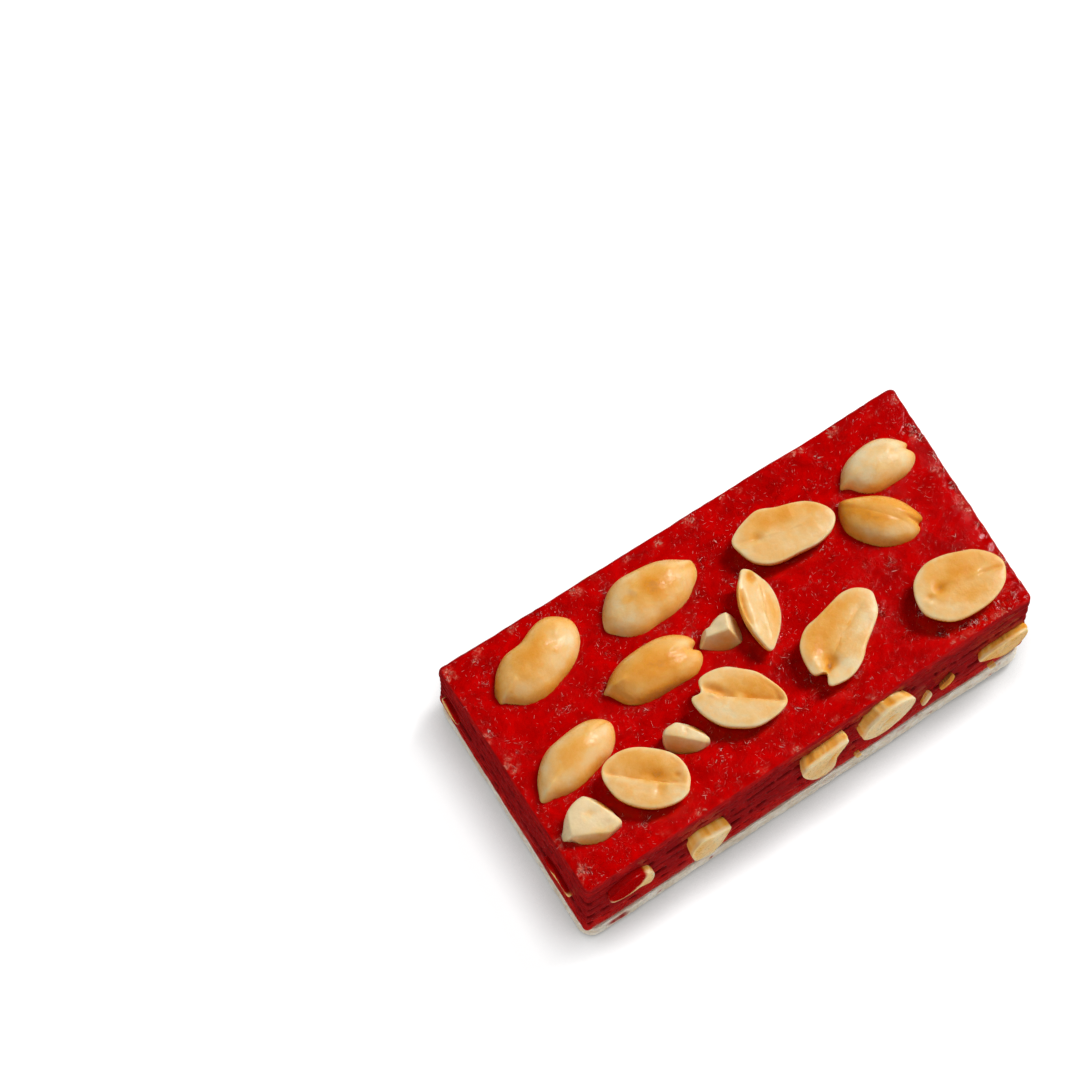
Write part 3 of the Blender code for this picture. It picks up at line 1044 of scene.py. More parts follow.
BACK_LEFT = Kernel(
    "peanut_back_left", -7.9, 13.9, 7, Lie.DOME_UP,
    (
        (-6.5, 3.2), (-4.4, 4.6), (-2.0, 5.1), (1.0, 4.6), (4.2, 3.8), (6.3, 2.7), (8.0, 1.2),
        (9.2, 0.0), (8.2, -2.4), (5.9, -3.9), (3.5, -5.0), (0.7, -5.2), (-1.9, -4.9), (-4.3, -4.9),
        (-6.9, -3.7), (-8.2, -2.0), (-9.0, -0.3), (-8.0, 1.6),
    ),
    deep=4.3, tone=0.06,
    marks=(
        tint(0.7, 0.4, 4.2, 3.2, 10, 0.46), spot(-3.8, 0.7, 1.0, 0.8, 0, 0.2),
        tint(1.0, -1.5, 5.0, 2.6, 0, 0.14), tint(-0.5, -4.3, 5.0, 0.9, 0, 0.16),
        crease(7.6, -0.4, 1.6, 0.4, 2, 0.35), tint(7.6, -0.5, 1.5, 0.4, 2, 0.25),
        dent(4.6, 0.6, 1.0, 1.2, 40, -0.18), dent(-2.2, 0.9, 0.4, 1.0, 20, -0.12),
        dent(-3.2, 0.8, 0.8, 0.8, 0, 0.16), dent(-8.0, -0.2, 0.7, 0.5, 0, 0.15),
    ),
)
FAR_LEFT = Kernel(
    "peanut_far_left", -27.8, 14.4, 16, Lie.DOME_UP,
    (
        (-9.5, -0.5), (-9.2, 0.4), (-8.9, 1.2), (-7.4, 2.5), (-5.4, 3.8), (-3.0, 4.4), (-0.2, 3.9),
        (2.7, 4.3), (4.9, 4.3), (6.8, 3.4), (8.4, 0.8), (7.6, -1.8), (5.6, -3.7), (2.6, -5.0),
        (-0.8, -5.3), (-3.3, -5.4), (-5.1, -5.0), (-7.2, -3.7), (-8.1, -2.4), (-8.9, -1.0),
    ),
    deep=4.3, tone=0.14, around=144,
    marks=(
        tint(-0.8, 0.8, 6.2, 3.4, 8, 0.36), tint(5.5, -1.8, 2.6, 2.0, -30, -0.14),
        tint(-8.6, 1.4, 2.4, 0.8, 55, 0.34), tint(-1.5, -4.9, 4.5, 0.9, 0, 0.22),
        crease(-7.6, -0.4, 1.6, 0.7, 8, -0.3), tint(-8.8, -0.5, 1.0, 0.6, 20, -0.22),
        dent(4.4, 0.2, 1.2, 0.6, 30, -0.16), dent(3.0, -0.6, 1.4, 0.6, -10, 0.10),
    ),
)
MIDDLE = Kernel(
    "peanut_middle", -14.1, 2.8, -11, Lie.DOME_UP,
    (
        (-9.0, -0.95), (-8.3, -0.2), (-7.3, 1.0), (-5.2, 2.6), (-2.2, 3.7), (1.4, 4.4), (3.8, 4.3),
        (6.0, 3.5), (7.3, 2.4), (7.4, 1.4), (6.6, 0.8), (6.7, 0.3), (7.6, 0.0), (7.7, -1.3), (7.1, -2.3),
        (6.0, -3.5), (4.3, -4.1), (1.7, -4.4), (-1.2, -5.0), (-4.3, -5.0), (-6.5, -4.0), (-7.7, -2.4),
        (-8.3, -1.5),
    ),
    deep=4.3, tone=0.26, around=144,
    marks=(
        # Painted shade: the second tint on the next line is a band of shade below the middle line.
        tint(-0.6, 0.2, 6.4, 3.2, 4, 0.24), tint(-1.0, -1.4, 5.4, 1.2, 3, 0.12),
        tint(0.0, -4.4, 5.0, 1.2, 3, 0.26), crease(-7.2, -0.95, 1.4, 0.6, 0, -0.3),
        crease(0.5, -1.0, 3.2, 1.2, 3, 0.12, 0.8), crease(6.2, 0.5, 0.6, 0.35, -6, 0.35),
        tint(5.4, 1.4, 1.6, 1.2, 0, -0.18), tint(6.0, -1.6, 1.2, 0.9, 0, -0.2),
        dent(3.2, 1.0, 1.2, 0.5, 20, -0.16), spot(-8.3, -0.95, 0.9, 0.6, 0, -0.24),
        tint(-4.0, 2.4, 2.4, 0.8, 15, -0.10),
    ),
)
FRONT_MIDDLE = Kernel(
    "peanut_front_middle", -7.1, -9.75, -43, Lie.FACE_UP,
    (
        (-7.5, -1.5), (-6.2, -0.3), (-6.9, 1.7), (-5.4, 3.5), (-3.1, 4.7), (-0.7, 4.8), (1.8, 4.7),
        (4.3, 3.6), (6.5, 2.2), (7.4, 0.6), (6.8, -1.1), (5.3, -2.9), (3.4, -4.4), (0.8, -5.1),
        (-2.1, -5.2), (-4.8, -4.2), (-6.6, -2.9),
    ),
    deep=4.1, tone=0.20, size=0.97,
    marks=(
        crease(2.6, 0.35, 4.6, 0.22, 5, 0.95, 7.0), tint(2.0, 1.6, 5.0, 1.8, 5, 0.26),
        # Painted shade: the first tint on the next line darkens the groove.
        tint(1.8, 0.6, 3.2, 0.5, 4, 0.20), dent(-4.3, 0.5, 1.8, 0.7, -4, 0.8),
        tint(-4.2, 0.6, 1.7, 0.7, -4, 0.26), dent(-4.1, -0.5, 0.6, 0.4, 0, -0.35),
        tint(-1.0, -2.6, 4.5, 1.6, 0, -0.14), tint(-5.0, 2.2, 1.4, 1.0, 0, -0.06),
        tint(3.0, 3.0, 3.0, 1.0, -20, 0.08),
    ),
)
SLIVER = Kernel(
    "peanut_sliver", 4.0, 0.9, 70, Lie.FACE_UP,
    (
        (5.9, 2.1), (6.9, 1.6), (7.0, 0.6), (6.6, -0.3), (5.6, -1.3), (4.2, -2.5), (2.0, -3.2),
        (-0.6, -3.2), (-3.0, -2.5), (-5.1, -1.4), (-7.1, 0.2), (-5.4, 1.6), (-2.5, 2.9), (0.7, 3.4),
        (3.6, 3.1),
    ),
    deep=3.0, tone=0.16, tilt=24, around=144,
    marks=(
        dent(-0.6, 3.4, 6.0, 0.8, 0, 0.9), spot(-0.6, 3.2, 7.0, 0.7, 0, 0.34),
        spot(5.6, 0.3, 1.3, 0.8, -25, 0.42), dent(5.6, 0.3, 1.3, 0.9, -25, 0.4),
        crease(0.9, -0.7, 2.2, 0.3, -4, 0.16), crease(0.9, -0.2, 2.2, 0.4, -4, -0.20),
        tint(-1.6, -1.7, 2.4, 1.0, 0, 0.24), tint(1.6, -1.6, 2.0, 0.8, 10, 0.14),
        crease(-4.6, -0.3, 2.0, 0.3, 2, -0.16),
    ),
)
FRONT_RIGHT = Kernel(
    "peanut_front_right", 11.5, -9.7, 27, Lie.FACE_UP,
    (
        (9.0, -0.4), (7.9, -1.9), (6.2, -3.2), (3.6, -3.8), (0.4, -4.3), (-2.0, -5.0), (-4.8, -5.0),
        (-7.0, -4.1), (-8.7, -2.5), (-6.9, -1.1), (-8.3, 0.3), (-7.6, 2.0), (-6.1, 3.9), (-4.6, 4.9),
        (-1.9, 5.4), (0.7, 4.7), (3.5, 4.1), (6.3, 3.4), (8.2, 1.9),
    ),
    deep=4.2, tone=0.25, size=0.97,
    marks=(
        dent(-4.6, -0.8, 1.4, 1.2, 60, 0.8), spot(-4.7, -0.8, 1.3, 1.0, 60, 0.36),
        dent(-6.2, -1.0, 1.3, 0.6, 4, 0.6), spot(-6.1, -1.0, 1.3, 0.6, 4, 0.30),
        crease(1.2, -0.4, 3.6, 0.35, 2, 0.25), tint(1.0, -0.4, 3.4, 0.4, 2, 0.12),
        tint(0.0, 2.8, 5.5, 1.8, -5, 0.26), tint(-3.5, 1.8, 2.2, 1.6, 0, 0.14),
        dent(-3.2, 1.6, 1.6, 1.2, 0, 0.2), tint(-4.0, -3.2, 3.4, 1.5, -8, -0.20),
        tint(4.0, -2.0, 3.4, 1.2, 5, -0.18), dent(-6.2, 1.6, 1.2, 0.9, 30, -0.2),
        # Painted highlight on the left lobe.
        tint(-6.4, 1.6, 1.2, 1.2, 0, -0.14),
    ),
)
CORNER_RIGHT = Kernel(
    "peanut_corner_right", 31.2, -13.25, -12, Lie.FACE_UP,
    (
        (-7.3, 2.0), (-6.1, 3.9), (-3.8, 5.4), (-0.7, 5.8), (2.4, 5.4), (4.3, 5.0), (6.6, 3.5),
        (7.8, 1.7), (7.7, 0.1), (6.6, -2.1), (4.0, -4.0), (0.9, -5.0), (-2.3, -5.4), (-4.7, -4.8),
        (-7.1, -2.9), (-7.7, -0.7),
    ),
    deep=4.1, tone=0.27, size=0.97,
    marks=(
        dent(-3.3, 0.5, 1.0, 0.8, 30, 0.45), tint(-3.2, 0.6, 1.1, 0.9, 30, 0.26),
        dent(-5.4, -0.4, 0.7, 0.4, 10, 0.3), tint(-5.4, -0.2, 0.7, 0.4, 10, 0.14),
        dent(-6.0, -1.2, 0.6, 0.5, 0, -0.2), crease(5.9, 0.7, 1.8, 0.3, 2, 0.4, 1.6),
        tint(5.9, 0.8, 1.7, 0.3, 2, 0.18), dent(2.8, 1.0, 1.2, 0.6, 10, -0.16),
        dent(-0.4, 0.8, 1.4, 0.6, -10, -0.14), dent(1.2, 0.2, 1.2, 0.5, 10, 0.12),
        tint(1.4, -1.8, 3.0, 1.4, 8, 0.14), tint(1.0, 2.4, 5.0, 2.2, 10, 0.24),
        tint(-6.2, 0.6, 1.4, 2.4, 0, -0.20), tint(-3.0, -3.4, 3.0, 1.4, 0, -0.14),
    ),
)
NEAR_LEFT = Kernel(
    "peanut_near_left", -32.8, -3.0, 17, Lie.DOME_UP,
    (
        (-8.8, -0.8), (-8.0, 0.3), (-6.4, 1.9), (-4.4, 3.2), (-1.9, 4.0), (0.8, 3.8), (4.2, 3.2),
        (6.7, 2.1), (8.3, -0.2), (7.0, -2.5), (4.4, -4.0), (2.0, -4.1), (-1.2, -4.1), (-3.4, -3.9),
        (-5.4, -3.1), (-7.2, -2.0), (-8.3, -1.5),
    ),
    deep=4.2, tone=0.10, around=144,
    marks=(
        crease(7.0, 0.0, 1.5, 0.35, -3, 0.32), tint(7.0, 0.0, 1.4, 0.35, -3, 0.16),
        tint(0.2, 0.2, 5.6, 2.6, 5, 0.30), tint(-1.0, -3.7, 4.0, 0.8, 0, 0.2),
        crease(-7.2, -0.8, 1.3, 0.6, 4, -0.3), tint(5.4, -0.9, 1.8, 1.0, -20, -0.14),
        dent(4.3, 0.4, 0.8, 0.8, 0, -0.16), tint(-7.6, -0.6, 1.0, 0.6, 0, -0.16),
        dent(-3.4, -0.4, 1.2, 0.9, 0, 0.10), tint(-3.0, 2.6, 3.0, 0.8, 15, -0.08),
    ),
)
NEAR_MIDDLE = Kernel(
    "peanut_near_middle", -26.2, -13.05, -42, Lie.FACE_UP,
    (
        (-7.1, -0.5), (-7.0, 1.5), (-5.1, 3.7), (-2.5, 4.9), (0.8, 5.1), (3.4, 4.7), (5.3, 3.4),
        (6.5, 1.4), (6.7, -0.4), (6.6, -1.5), (5.2, -3.2), (2.2, -4.7), (-1.0, -4.9), (-3.9, -4.1),
        (-6.0, -2.3),
    ),
    deep=4.1, tone=0.23, size=0.97,
    marks=(
        crease(-1.4, -0.15, 4.8, 0.2, 1, 0.9, 8.0), dent(0.9, 0.8, 2.2, 0.9, 6, 0.3),
        tint(1.2, 0.8, 2.6, 1.0, 6, 0.32), tint(-1.0, 2.0, 5.0, 2.0, 0, 0.22),
        # Painted highlight: the first tint on the next line brightens the crest below the groove.
        tint(-3.4, -1.0, 2.4, 0.6, 0, -0.16), dent(2.2, -1.5, 0.9, 1.4, 0, 0.3),
        tint(2.2, -1.5, 0.9, 1.2, 0, 0.1), dent(4.3, 1.3, 0.5, 0.4, 0, 0.25),
        # Painted highlight: the second tint on the next line is a pale highlight patch.
        tint(4.3, 1.3, 0.6, 0.4, 0, 0.2), tint(5.0, -1.4, 1.4, 1.0, -20, -0.18),
        crease(4.6, -0.2, 1.4, 0.25, -10, -0.2), tint(1.0, -3.2, 3.4, 1.0, 0, 0.04),
    ),
)
BIT_MIDDLE = Kernel(
    "peanut_bit_middle", -2.4, 2.2, -17, Lie.BROKEN,
    (
        (-4.0, -1.7), (-3.5, -0.7), (-3.0, 0.2), (-1.9, 0.5), (-1.1, 1.2), (0.2, 1.9), (2.0, 1.9),
        (2.7, 1.0), (3.1, -0.9), (3.1, -2.3), (2.2, -3.0), (0.2, -3.6), (-1.8, -3.1), (-3.3, -2.2),
    ),
    deep=3.0, tone=0.02, around=96, sharp=0.07,
    planes=(Plane(3.5, 0.30, -0.15), Plane(5.9, 0.35, 1.9), Plane(5.2, -1.5, 0.1), Plane(8.4, 2.2, -0.6)),
    marks=(
        # Painted shade: these tints darken the lower facet and the shaded right facet.
        tint(-0.2, -3.0, 3.0, 1.4, 0, 0.42), tint(2.5, 0.2, 0.7, 1.4, 0, 0.42),
        dent(-0.6, -0.2, 1.0, 0.5, 10, 0.2),
    ),
)
BIT_FRONT = Kernel(
    "peanut_bit_front", -17.0, -10.2, -40, Lie.BROKEN,
    (
        (-3.7, 0.1), (-2.6, 1.3), (-1.2, 2.2), (0.4, 2.5), (2.0, 2.1), (2.8, 1.0), (3.5, -0.3),
        (2.8, -1.2), (1.2, -2.2), (-1.2, -2.7), (-2.6, -2.2), (-3.5, -1.2),
    ),
    deep=2.6, tone=0.02, around=96, sharp=0.06,
    planes=(Plane(3.2, -0.10, 0.12), Plane(5.0, 0.0, 2.3), Plane(4.7, -0.6, -1.5), Plane(9.0, -1.8, 0.4)),
    marks=(
        # Painted shade on the lower facet, and a painted shadow of the nut beside it on the far right facet.
        tint(0.0, -2.2, 3.8, 1.2, 0, 0.44), spot(1.3, 1.8, 1.9, 0.9, -35, 0.40),
        dent(-0.3, 0.5, 0.3, 1.4, 12, 0.12),
    ),
)
BIT_CORNER = Kernel(
    "peanut_bit_corner", -36.7, -13.6, -23, Lie.BROKEN,
    (
        (-5.0, -1.7), (-4.4, -0.4), (-3.8, 1.2), (-2.4, 2.9), (-0.6, 3.9), (0.9, 4.0), (2.4, 3.2),
        (3.5, 1.5), (3.9, 0.1), (4.5, -1.2), (3.4, -2.2), (1.6, -3.2), (0.0, -3.6), (-1.8, -3.2),
        (-3.2, -2.5), (-4.0, -2.3),
    ),
    deep=3.2, tone=0.02, around=112, sharp=0.08,
    planes=(Plane(3.1, 0.0, 0.06), Plane(7.4, -1.25, -1.3), Plane(8.6, 0.1, 2.2), Plane(9.6, 1.9, 0.0)),
    marks=(
        # Painted shade on the lower facet, and a painted shadow of the nut beside it on the upper right
        # facet.
        tint(0.0, -3.5, 4.4, 0.9, 0, 0.45), spot(2.6, 2.3, 2.0, 0.9, -50, 0.5),
        tint(-0.2, 0.8, 1.2, 0.6, 0, 0.16), dent(3.0, -0.6, 0.8, 0.6, 0, -0.3),
        dent(-0.1, 0.8, 1.0, 0.6, 0, 0.2), tint(3.2, -0.6, 1.0, 0.8, 0, -0.1),
    ),
)
TOP_KERNELS = (
    BACK_RIGHT, RIGHT, BACK_MIDDLE, BACK_LEFT, FAR_LEFT, MIDDLE, FRONT_MIDDLE, SLIVER, FRONT_RIGHT,
    CORNER_RIGHT, NEAR_LEFT, NEAR_MIDDLE, BIT_MIDDLE, BIT_FRONT, BIT_CORNER,
)


class Side(Enum):
    """The bar's four sides."""

    FRONT = "front"
    RIGHT = "right"
    BACK = "back"
    LEFT = "left"

    def ends(self) -> tuple[Corner, Corner]:
        """The corners at the side's two ends, with outward on the right of the way between them."""
        return {
            Side.FRONT: (BAR.left_front, BAR.right_front),
            Side.RIGHT: (BAR.right_front, BAR.right_back),
            Side.BACK: (BAR.right_back, BAR.left_back),
            Side.LEFT: (BAR.left_back, BAR.left_front),
        }[self]


@dataclass(frozen=True)
class CutNut:
    """A peanut cut open at a side of the bar."""

    node: str
    side: Side
    along: float
    height: float
    out: float
    outline: tuple[Point, ...]
    deep: float = 3.4
    tone: float = 0.24
    root: Point = (0.0, 0.6)
    marks: tuple[Mark, ...] = ()
    ribs: float = 0.10
    crumb: bool = False
    around: int = 128

    def matrix(self) -> Matrix:
        """Where the nut sits: its cut face looks straight out of the side."""
        start, end = self.side.ends()
        run = Vector((end.x - start.x, end.y - start.y, 0.0))
        if self.side in (Side.FRONT, Side.BACK):
            share = (self.along - start.x) / run.x
        else:
            share = (self.along - start.y) / run.y
        outward = Vector((run.y, -run.x, 0.0)).normalized()
        middle = Vector((start.x, start.y, self.height)) + run * share + outward * self.out
        facing = Matrix.Rotation(math.atan2(run.y, run.x), 4, "Z") @ Matrix.Rotation(math.pi / 2, 4, "X")
        return Matrix.Translation(middle) @ facing

    def build(self, finish: Material) -> Piece:
        """Makes the nut's mesh, puts it under the root and hides its node. A crumb stands for none.

        Args:
            finish: The peanut material.

        Returns:
            The finished piece.
        """
        kernel = Kernel(
            self.node, 0, 0, 0, Lie.FACE_UP, self.outline, deep=self.deep, tone=self.tone, marks=self.marks,
            around=self.around,
        )
        made = kernel.mesh_piece(Matrix.Identity(4), finish)
        self.lean_and_rib(made)
        belongs(made, Slot.PEANUT, *(() if self.crumb else (self.node,)))
        return made

    def lean_and_rib(self, made: Piece) -> None:
        """Widens the nut towards its root, cuts ribs across its wall, and puts it in place.

        Args:
            made: The nut's piece, still at the origin.
        """
        count = len(made.data.vertices)
        flat = np.empty(count * 3, np.float32)
        made.data.vertices.foreach_get("co", flat)
        points = flat.reshape(-1, 3).astype(float) / MM
        depth = np.clip(-points[:, 2], 0.0, None)
        share = np.clip(depth / max(self.out, 0.3), 0.0, 1.0)
        angle = np.arctan2(points[:, 1], points[:, 0])
        ring = np.stack([np.cos(angle), np.sin(angle)], axis=1)
        seed = float(sum(map(ord, self.node)) % 53)
        lumps = 1.6 * smooth_noise(ring * 3.2, 1.0, seed, 2)
        wave = lumps + 0.3 * np.cos(angle * 19 + 3 * np.cos(angle * 2 + seed))
        wall = step_between(0.0, 0.25, depth) * (1 - step_between(0.75, 1.0, depth / self.deep))
        points[:, :2] += ring * (self.ribs * wave * wall)[:, None]
        points[:, :2] += np.array(self.root) * share[:, None]
        tone = np.empty(count, np.float32)
        made.data.attributes["tone"].data.foreach_get("value", tone)
        # Painted light and shade: paler where the ribs stand out, darker between them.
        tone = np.clip(tone - 0.16 * wall * wave, 0.0, 1.0).astype(np.float32)
        made.data.attributes["tone"].data.foreach_set("value", tone)
        world = np.array(self.matrix())
        placed = (points @ world[:3, :3].T + world[:3, 3]) * MM
        made.data.vertices.foreach_set("co", placed.astype(np.float32).ravel())
        made.data.update()


def crumb(number: int, along: float, height: float, outline: tuple[Point, ...], tone: float) -> CutNut:
    """A crumb of peanut stuck to the front side.

    Args:
        number: Its number, for its name.
        along: Its place along the side.
        height: Its height.
        outline: Its outline.
        tone: How brown it is.

    Returns:
        The crumb, which stands for no node.
    """
    return CutNut(
        f"front_crumb_{number}", Side.FRONT, along, height, 0.55, outline, deep=1.3, tone=tone,
        root=(0.0, 0.1), ribs=0.02, crumb=True,
    )


def oval(length: float, width: float, seed: int) -> tuple[Point, ...]:
    """An uneven oval outline.

    Args:
        length: Its length.
        width: Its width.
        seed: Picks its unevenness.

    Returns:
        Its points, counter-clockwise.
    """
    rng = np.random.default_rng(seed)
    made = []
    for number in range(12):
        angle = 2 * math.pi * number / 12
        far = 1 + 0.07 * rng.uniform(-1, 1)
        made.append((length / 2 * far * math.cos(angle), width / 2 * far * math.sin(angle)))
    return tuple(made)


def cut_marks(seed: int) -> tuple[Mark, ...]:
    """The marks of a cut face: a small hollow near its middle and a paler rim side.

    Args:
        seed: Picks their places.

    Returns:
        The marks.
    """
    rng = np.random.default_rng(seed)
    x, y = rng.uniform(-0.8, 0.8, 2)
    turn = float(rng.uniform(-30, 30))
    return (
        dent(x, y, 1.3, 0.45, turn, 0.4),
        tint(x, y, 1.2, 0.4, turn, 0.25),
        tint(-1.0, 1.5, 2.0, 1.0, turn, -0.1),
        dent(1.2, -1.0, 1.5, 0.9, turn, 0.15),
    )


FRONT_NUTS = (
    CutNut(
        "side_nut_front_1", Side.FRONT, -35.7, 12.0, 0.7,
        (
            (-4.3, 0.7), (-3.6, -1.2), (-0.9, -1.7), (1.4, -1.7), (3.2, -2.5), (3.9, -1.3), (3.7, 0.8),
            (2.4, 2.4), (0.2, 3.2), (-2.0, 2.6), (-3.6, 1.7),
        ),
        deep=2.8, tone=0.16, root=(0.0, 0.8), ribs=0.02,
        marks=(film(-1.3, 2.0, 2.7, 2.2, 14, 6.0),),
    ),
    CutNut(
        "side_nut_front_2", Side.FRONT, -21.5, 10.2, 1.2,
        (
            (-3.6, 0.2), (-3.3, -1.6), (-2.8, -2.9), (-1.2, -3.6), (0.3, -4.0), (1.1, -3.3),
            (2.2, -1.9), (3.6, 1.2), (3.2, 1.8), (0.5, 2.6), (-1.5, 3.2), (-3.0, 2.2),
        ),
        deep=4.0, tone=0.12, root=(-0.3, 1.9), ribs=0.03,
        marks=(
            dent(0.4, -0.2, 1.6, 0.5, 50, 0.15), tint(-2.6, 0.5, 1.0, 1.8, 0, 0.2),
            tint(1.0, 0.2, 1.2, 2.0, 30, -0.08),
        ),
    ),
    CutNut(
        "side_nut_front_3", Side.FRONT, -0.7, 13.3, 1.6,
        (
            (-4.1, 1.0), (-3.2, -1.2), (-1.6, -3.3), (0.3, -4.1), (2.0, -3.3), (2.3, -1.2), (2.6, 0.6),
            (4.4, 3.4), (3.4, 3.7), (0.4, 3.4), (-2.4, 3.0), (-3.9, 2.2),
        ),
        deep=4.4, tone=0.12, root=(0.3, 1.0), ribs=0.13,
        marks=(
            dent(1.4, 0.6, 1.5, 0.7, 70, 0.6), tint(1.6, 0.4, 1.3, 0.6, 70, 0.3),
            tint(-1.5, 0.8, 2.0, 1.4, 0, 0.08),
        ),
    ),
    CutNut(
        "side_nut_front_4", Side.FRONT, 11.7, 14.2, 1.5,
        (
            (-4.9, -1.3), (-2.8, -3.2), (-0.7, -3.6), (1.2, -2.9), (3.1, -1.8), (4.4, -0.3),
            (4.8, 1.6), (3.3, 3.4), (0.6, 4.1), (-1.9, 3.4), (-4.0, 1.5),
        ),
        deep=4.4, tone=0.06, root=(-0.6, 1.1), ribs=0.13,
        marks=(
            dent(-0.2, 0.4, 1.3, 0.5, 25, 0.6), tint(-0.2, 0.4, 1.2, 0.45, 25, 0.5),
            tint(1.5, 0.8, 2.2, 1.6, 20, -0.05),
        ),
    ),
    CutNut(
        "side_nut_front_5", Side.FRONT, 34.5, 9.9, 0.7,
        (
            (-4.8, 1.4), (-3.4, 0.2), (-1.8, -1.0), (0.4, -2.3), (2.4, -2.1), (3.8, -1.2), (4.7, 0.4),
            (4.2, 2.0), (1.4, 2.3), (-1.6, 2.3), (-3.8, 2.1),
        ),
        deep=3.0, tone=0.26, root=(0.2, 0.7), ribs=0.13,
        marks=(
            tint(-3.5, 0.8, 1.8, 0.8, 0, 0.12), tint(0.0, -1.9, 3.0, 0.4, 0, 0.2),
            dent(1.0, 0.4, 2.6, 0.3, 20, 0.2),
        ),
    ),
)


def plain_nut(
    node: str, side: Side, along: float, height: float, length: float, width: float, out: float, deep: float,
    more: tuple[Mark, ...] = (),
) -> CutNut:
    """A cut nut with an uneven oval outline, for the sides where the details are free."""
    seed = sum(map(ord, node))
    return CutNut(
        node, side, along, height, out, oval(length, width, seed), deep=deep, root=(0.0, 0.35 * out),
        tone=0.2 + 0.02 * (seed % 6), marks=cut_marks(seed + 1) + more,
    )


OTHER_NUTS = (
    plain_nut(
        "side_nut_left_1", Side.LEFT, 17.7, 6.6, 4.8, 2.8, 0.2, 2.2, (film(0.3, 1.6, 3.4, 1.2, -8, 6.0),)
    ),
    plain_nut(
        "side_nut_left_2", Side.LEFT, -15.1, 8.4, 7.6, 1.8, 0.12, 2.0, (film(-0.6, 0.75, 3.4, 0.8, 6, 6.0),)
    ),
    plain_nut("side_nut_back_1", Side.BACK, -34.1, 7.6, 8.6, 5.4, 1.0, 3.4),
    plain_nut("side_nut_back_2", Side.BACK, -12.6, 8.0, 9.6, 5.8, 1.1, 3.4),
    plain_nut("side_nut_back_3", Side.BACK, 8.9, 8.6, 8.2, 4.6, 0.8, 3.4),
    plain_nut("side_nut_back_4", Side.BACK, 29.4, 7.4, 9.2, 4.8, 1.0, 3.4),
    plain_nut("side_nut_right_1", Side.RIGHT, -5.2, 10.8, 9.0, 5.6, 0.9, 3.4),
    plain_nut("side_nut_right_2", Side.RIGHT, 10.8, 8.8, 7.2, 4.0, 0.6, 2.8),
)


CRUMBS = (
    crumb(
        1, 23.8, 10.7,
        ((-1.3, -0.9), (-0.3, -0.8), (0.6, -0.2), (1.2, 1.0), (0.9, 1.3), (0.2, 0.4), (-0.6, -0.2)), 0.55,
    ),
    crumb(
        2, 20.0, 9.4,
        ((-0.9, -1.3), (-0.3, -1.1), (0.2, 0.1), (0.7, 1.3), (0.4, 1.5), (-0.1, 0.6), (-0.5, -0.4)), 0.05,
    ),
    crumb(3, 7.1, 4.8, ((-0.5, -0.2), (0.1, -0.4), (0.5, 0.0), (0.3, 0.4), (-0.2, 0.4)), 0.2),
    crumb(4, 33.0, 5.2, ((-0.6, -0.2), (0.0, -0.3), (0.6, 0.1), (0.3, 0.3), (-0.3, 0.2)), 0.1),
)


# The red block and the white base.


@dataclass(frozen=True)
class Patch:
    """A place on the top where the jelly's skin is wrinkled."""

    x: float
    y: float
    long: float
    wide: float
    turn: float
    amount: float

    def strength(self, spots: Array) -> Array:
        """How wrinkled some places are.

        Args:
            spots: One row of x and y for each place.

        Returns:
            From 0 to the patch's amount.
        """
        along, across = turned_axes(spots[:, 0] - self.x, spots[:, 1] - self.y, self.turn)
        return self.amount * np.exp(-((along / self.long) ** 2) - (across / self.wide) ** 2)


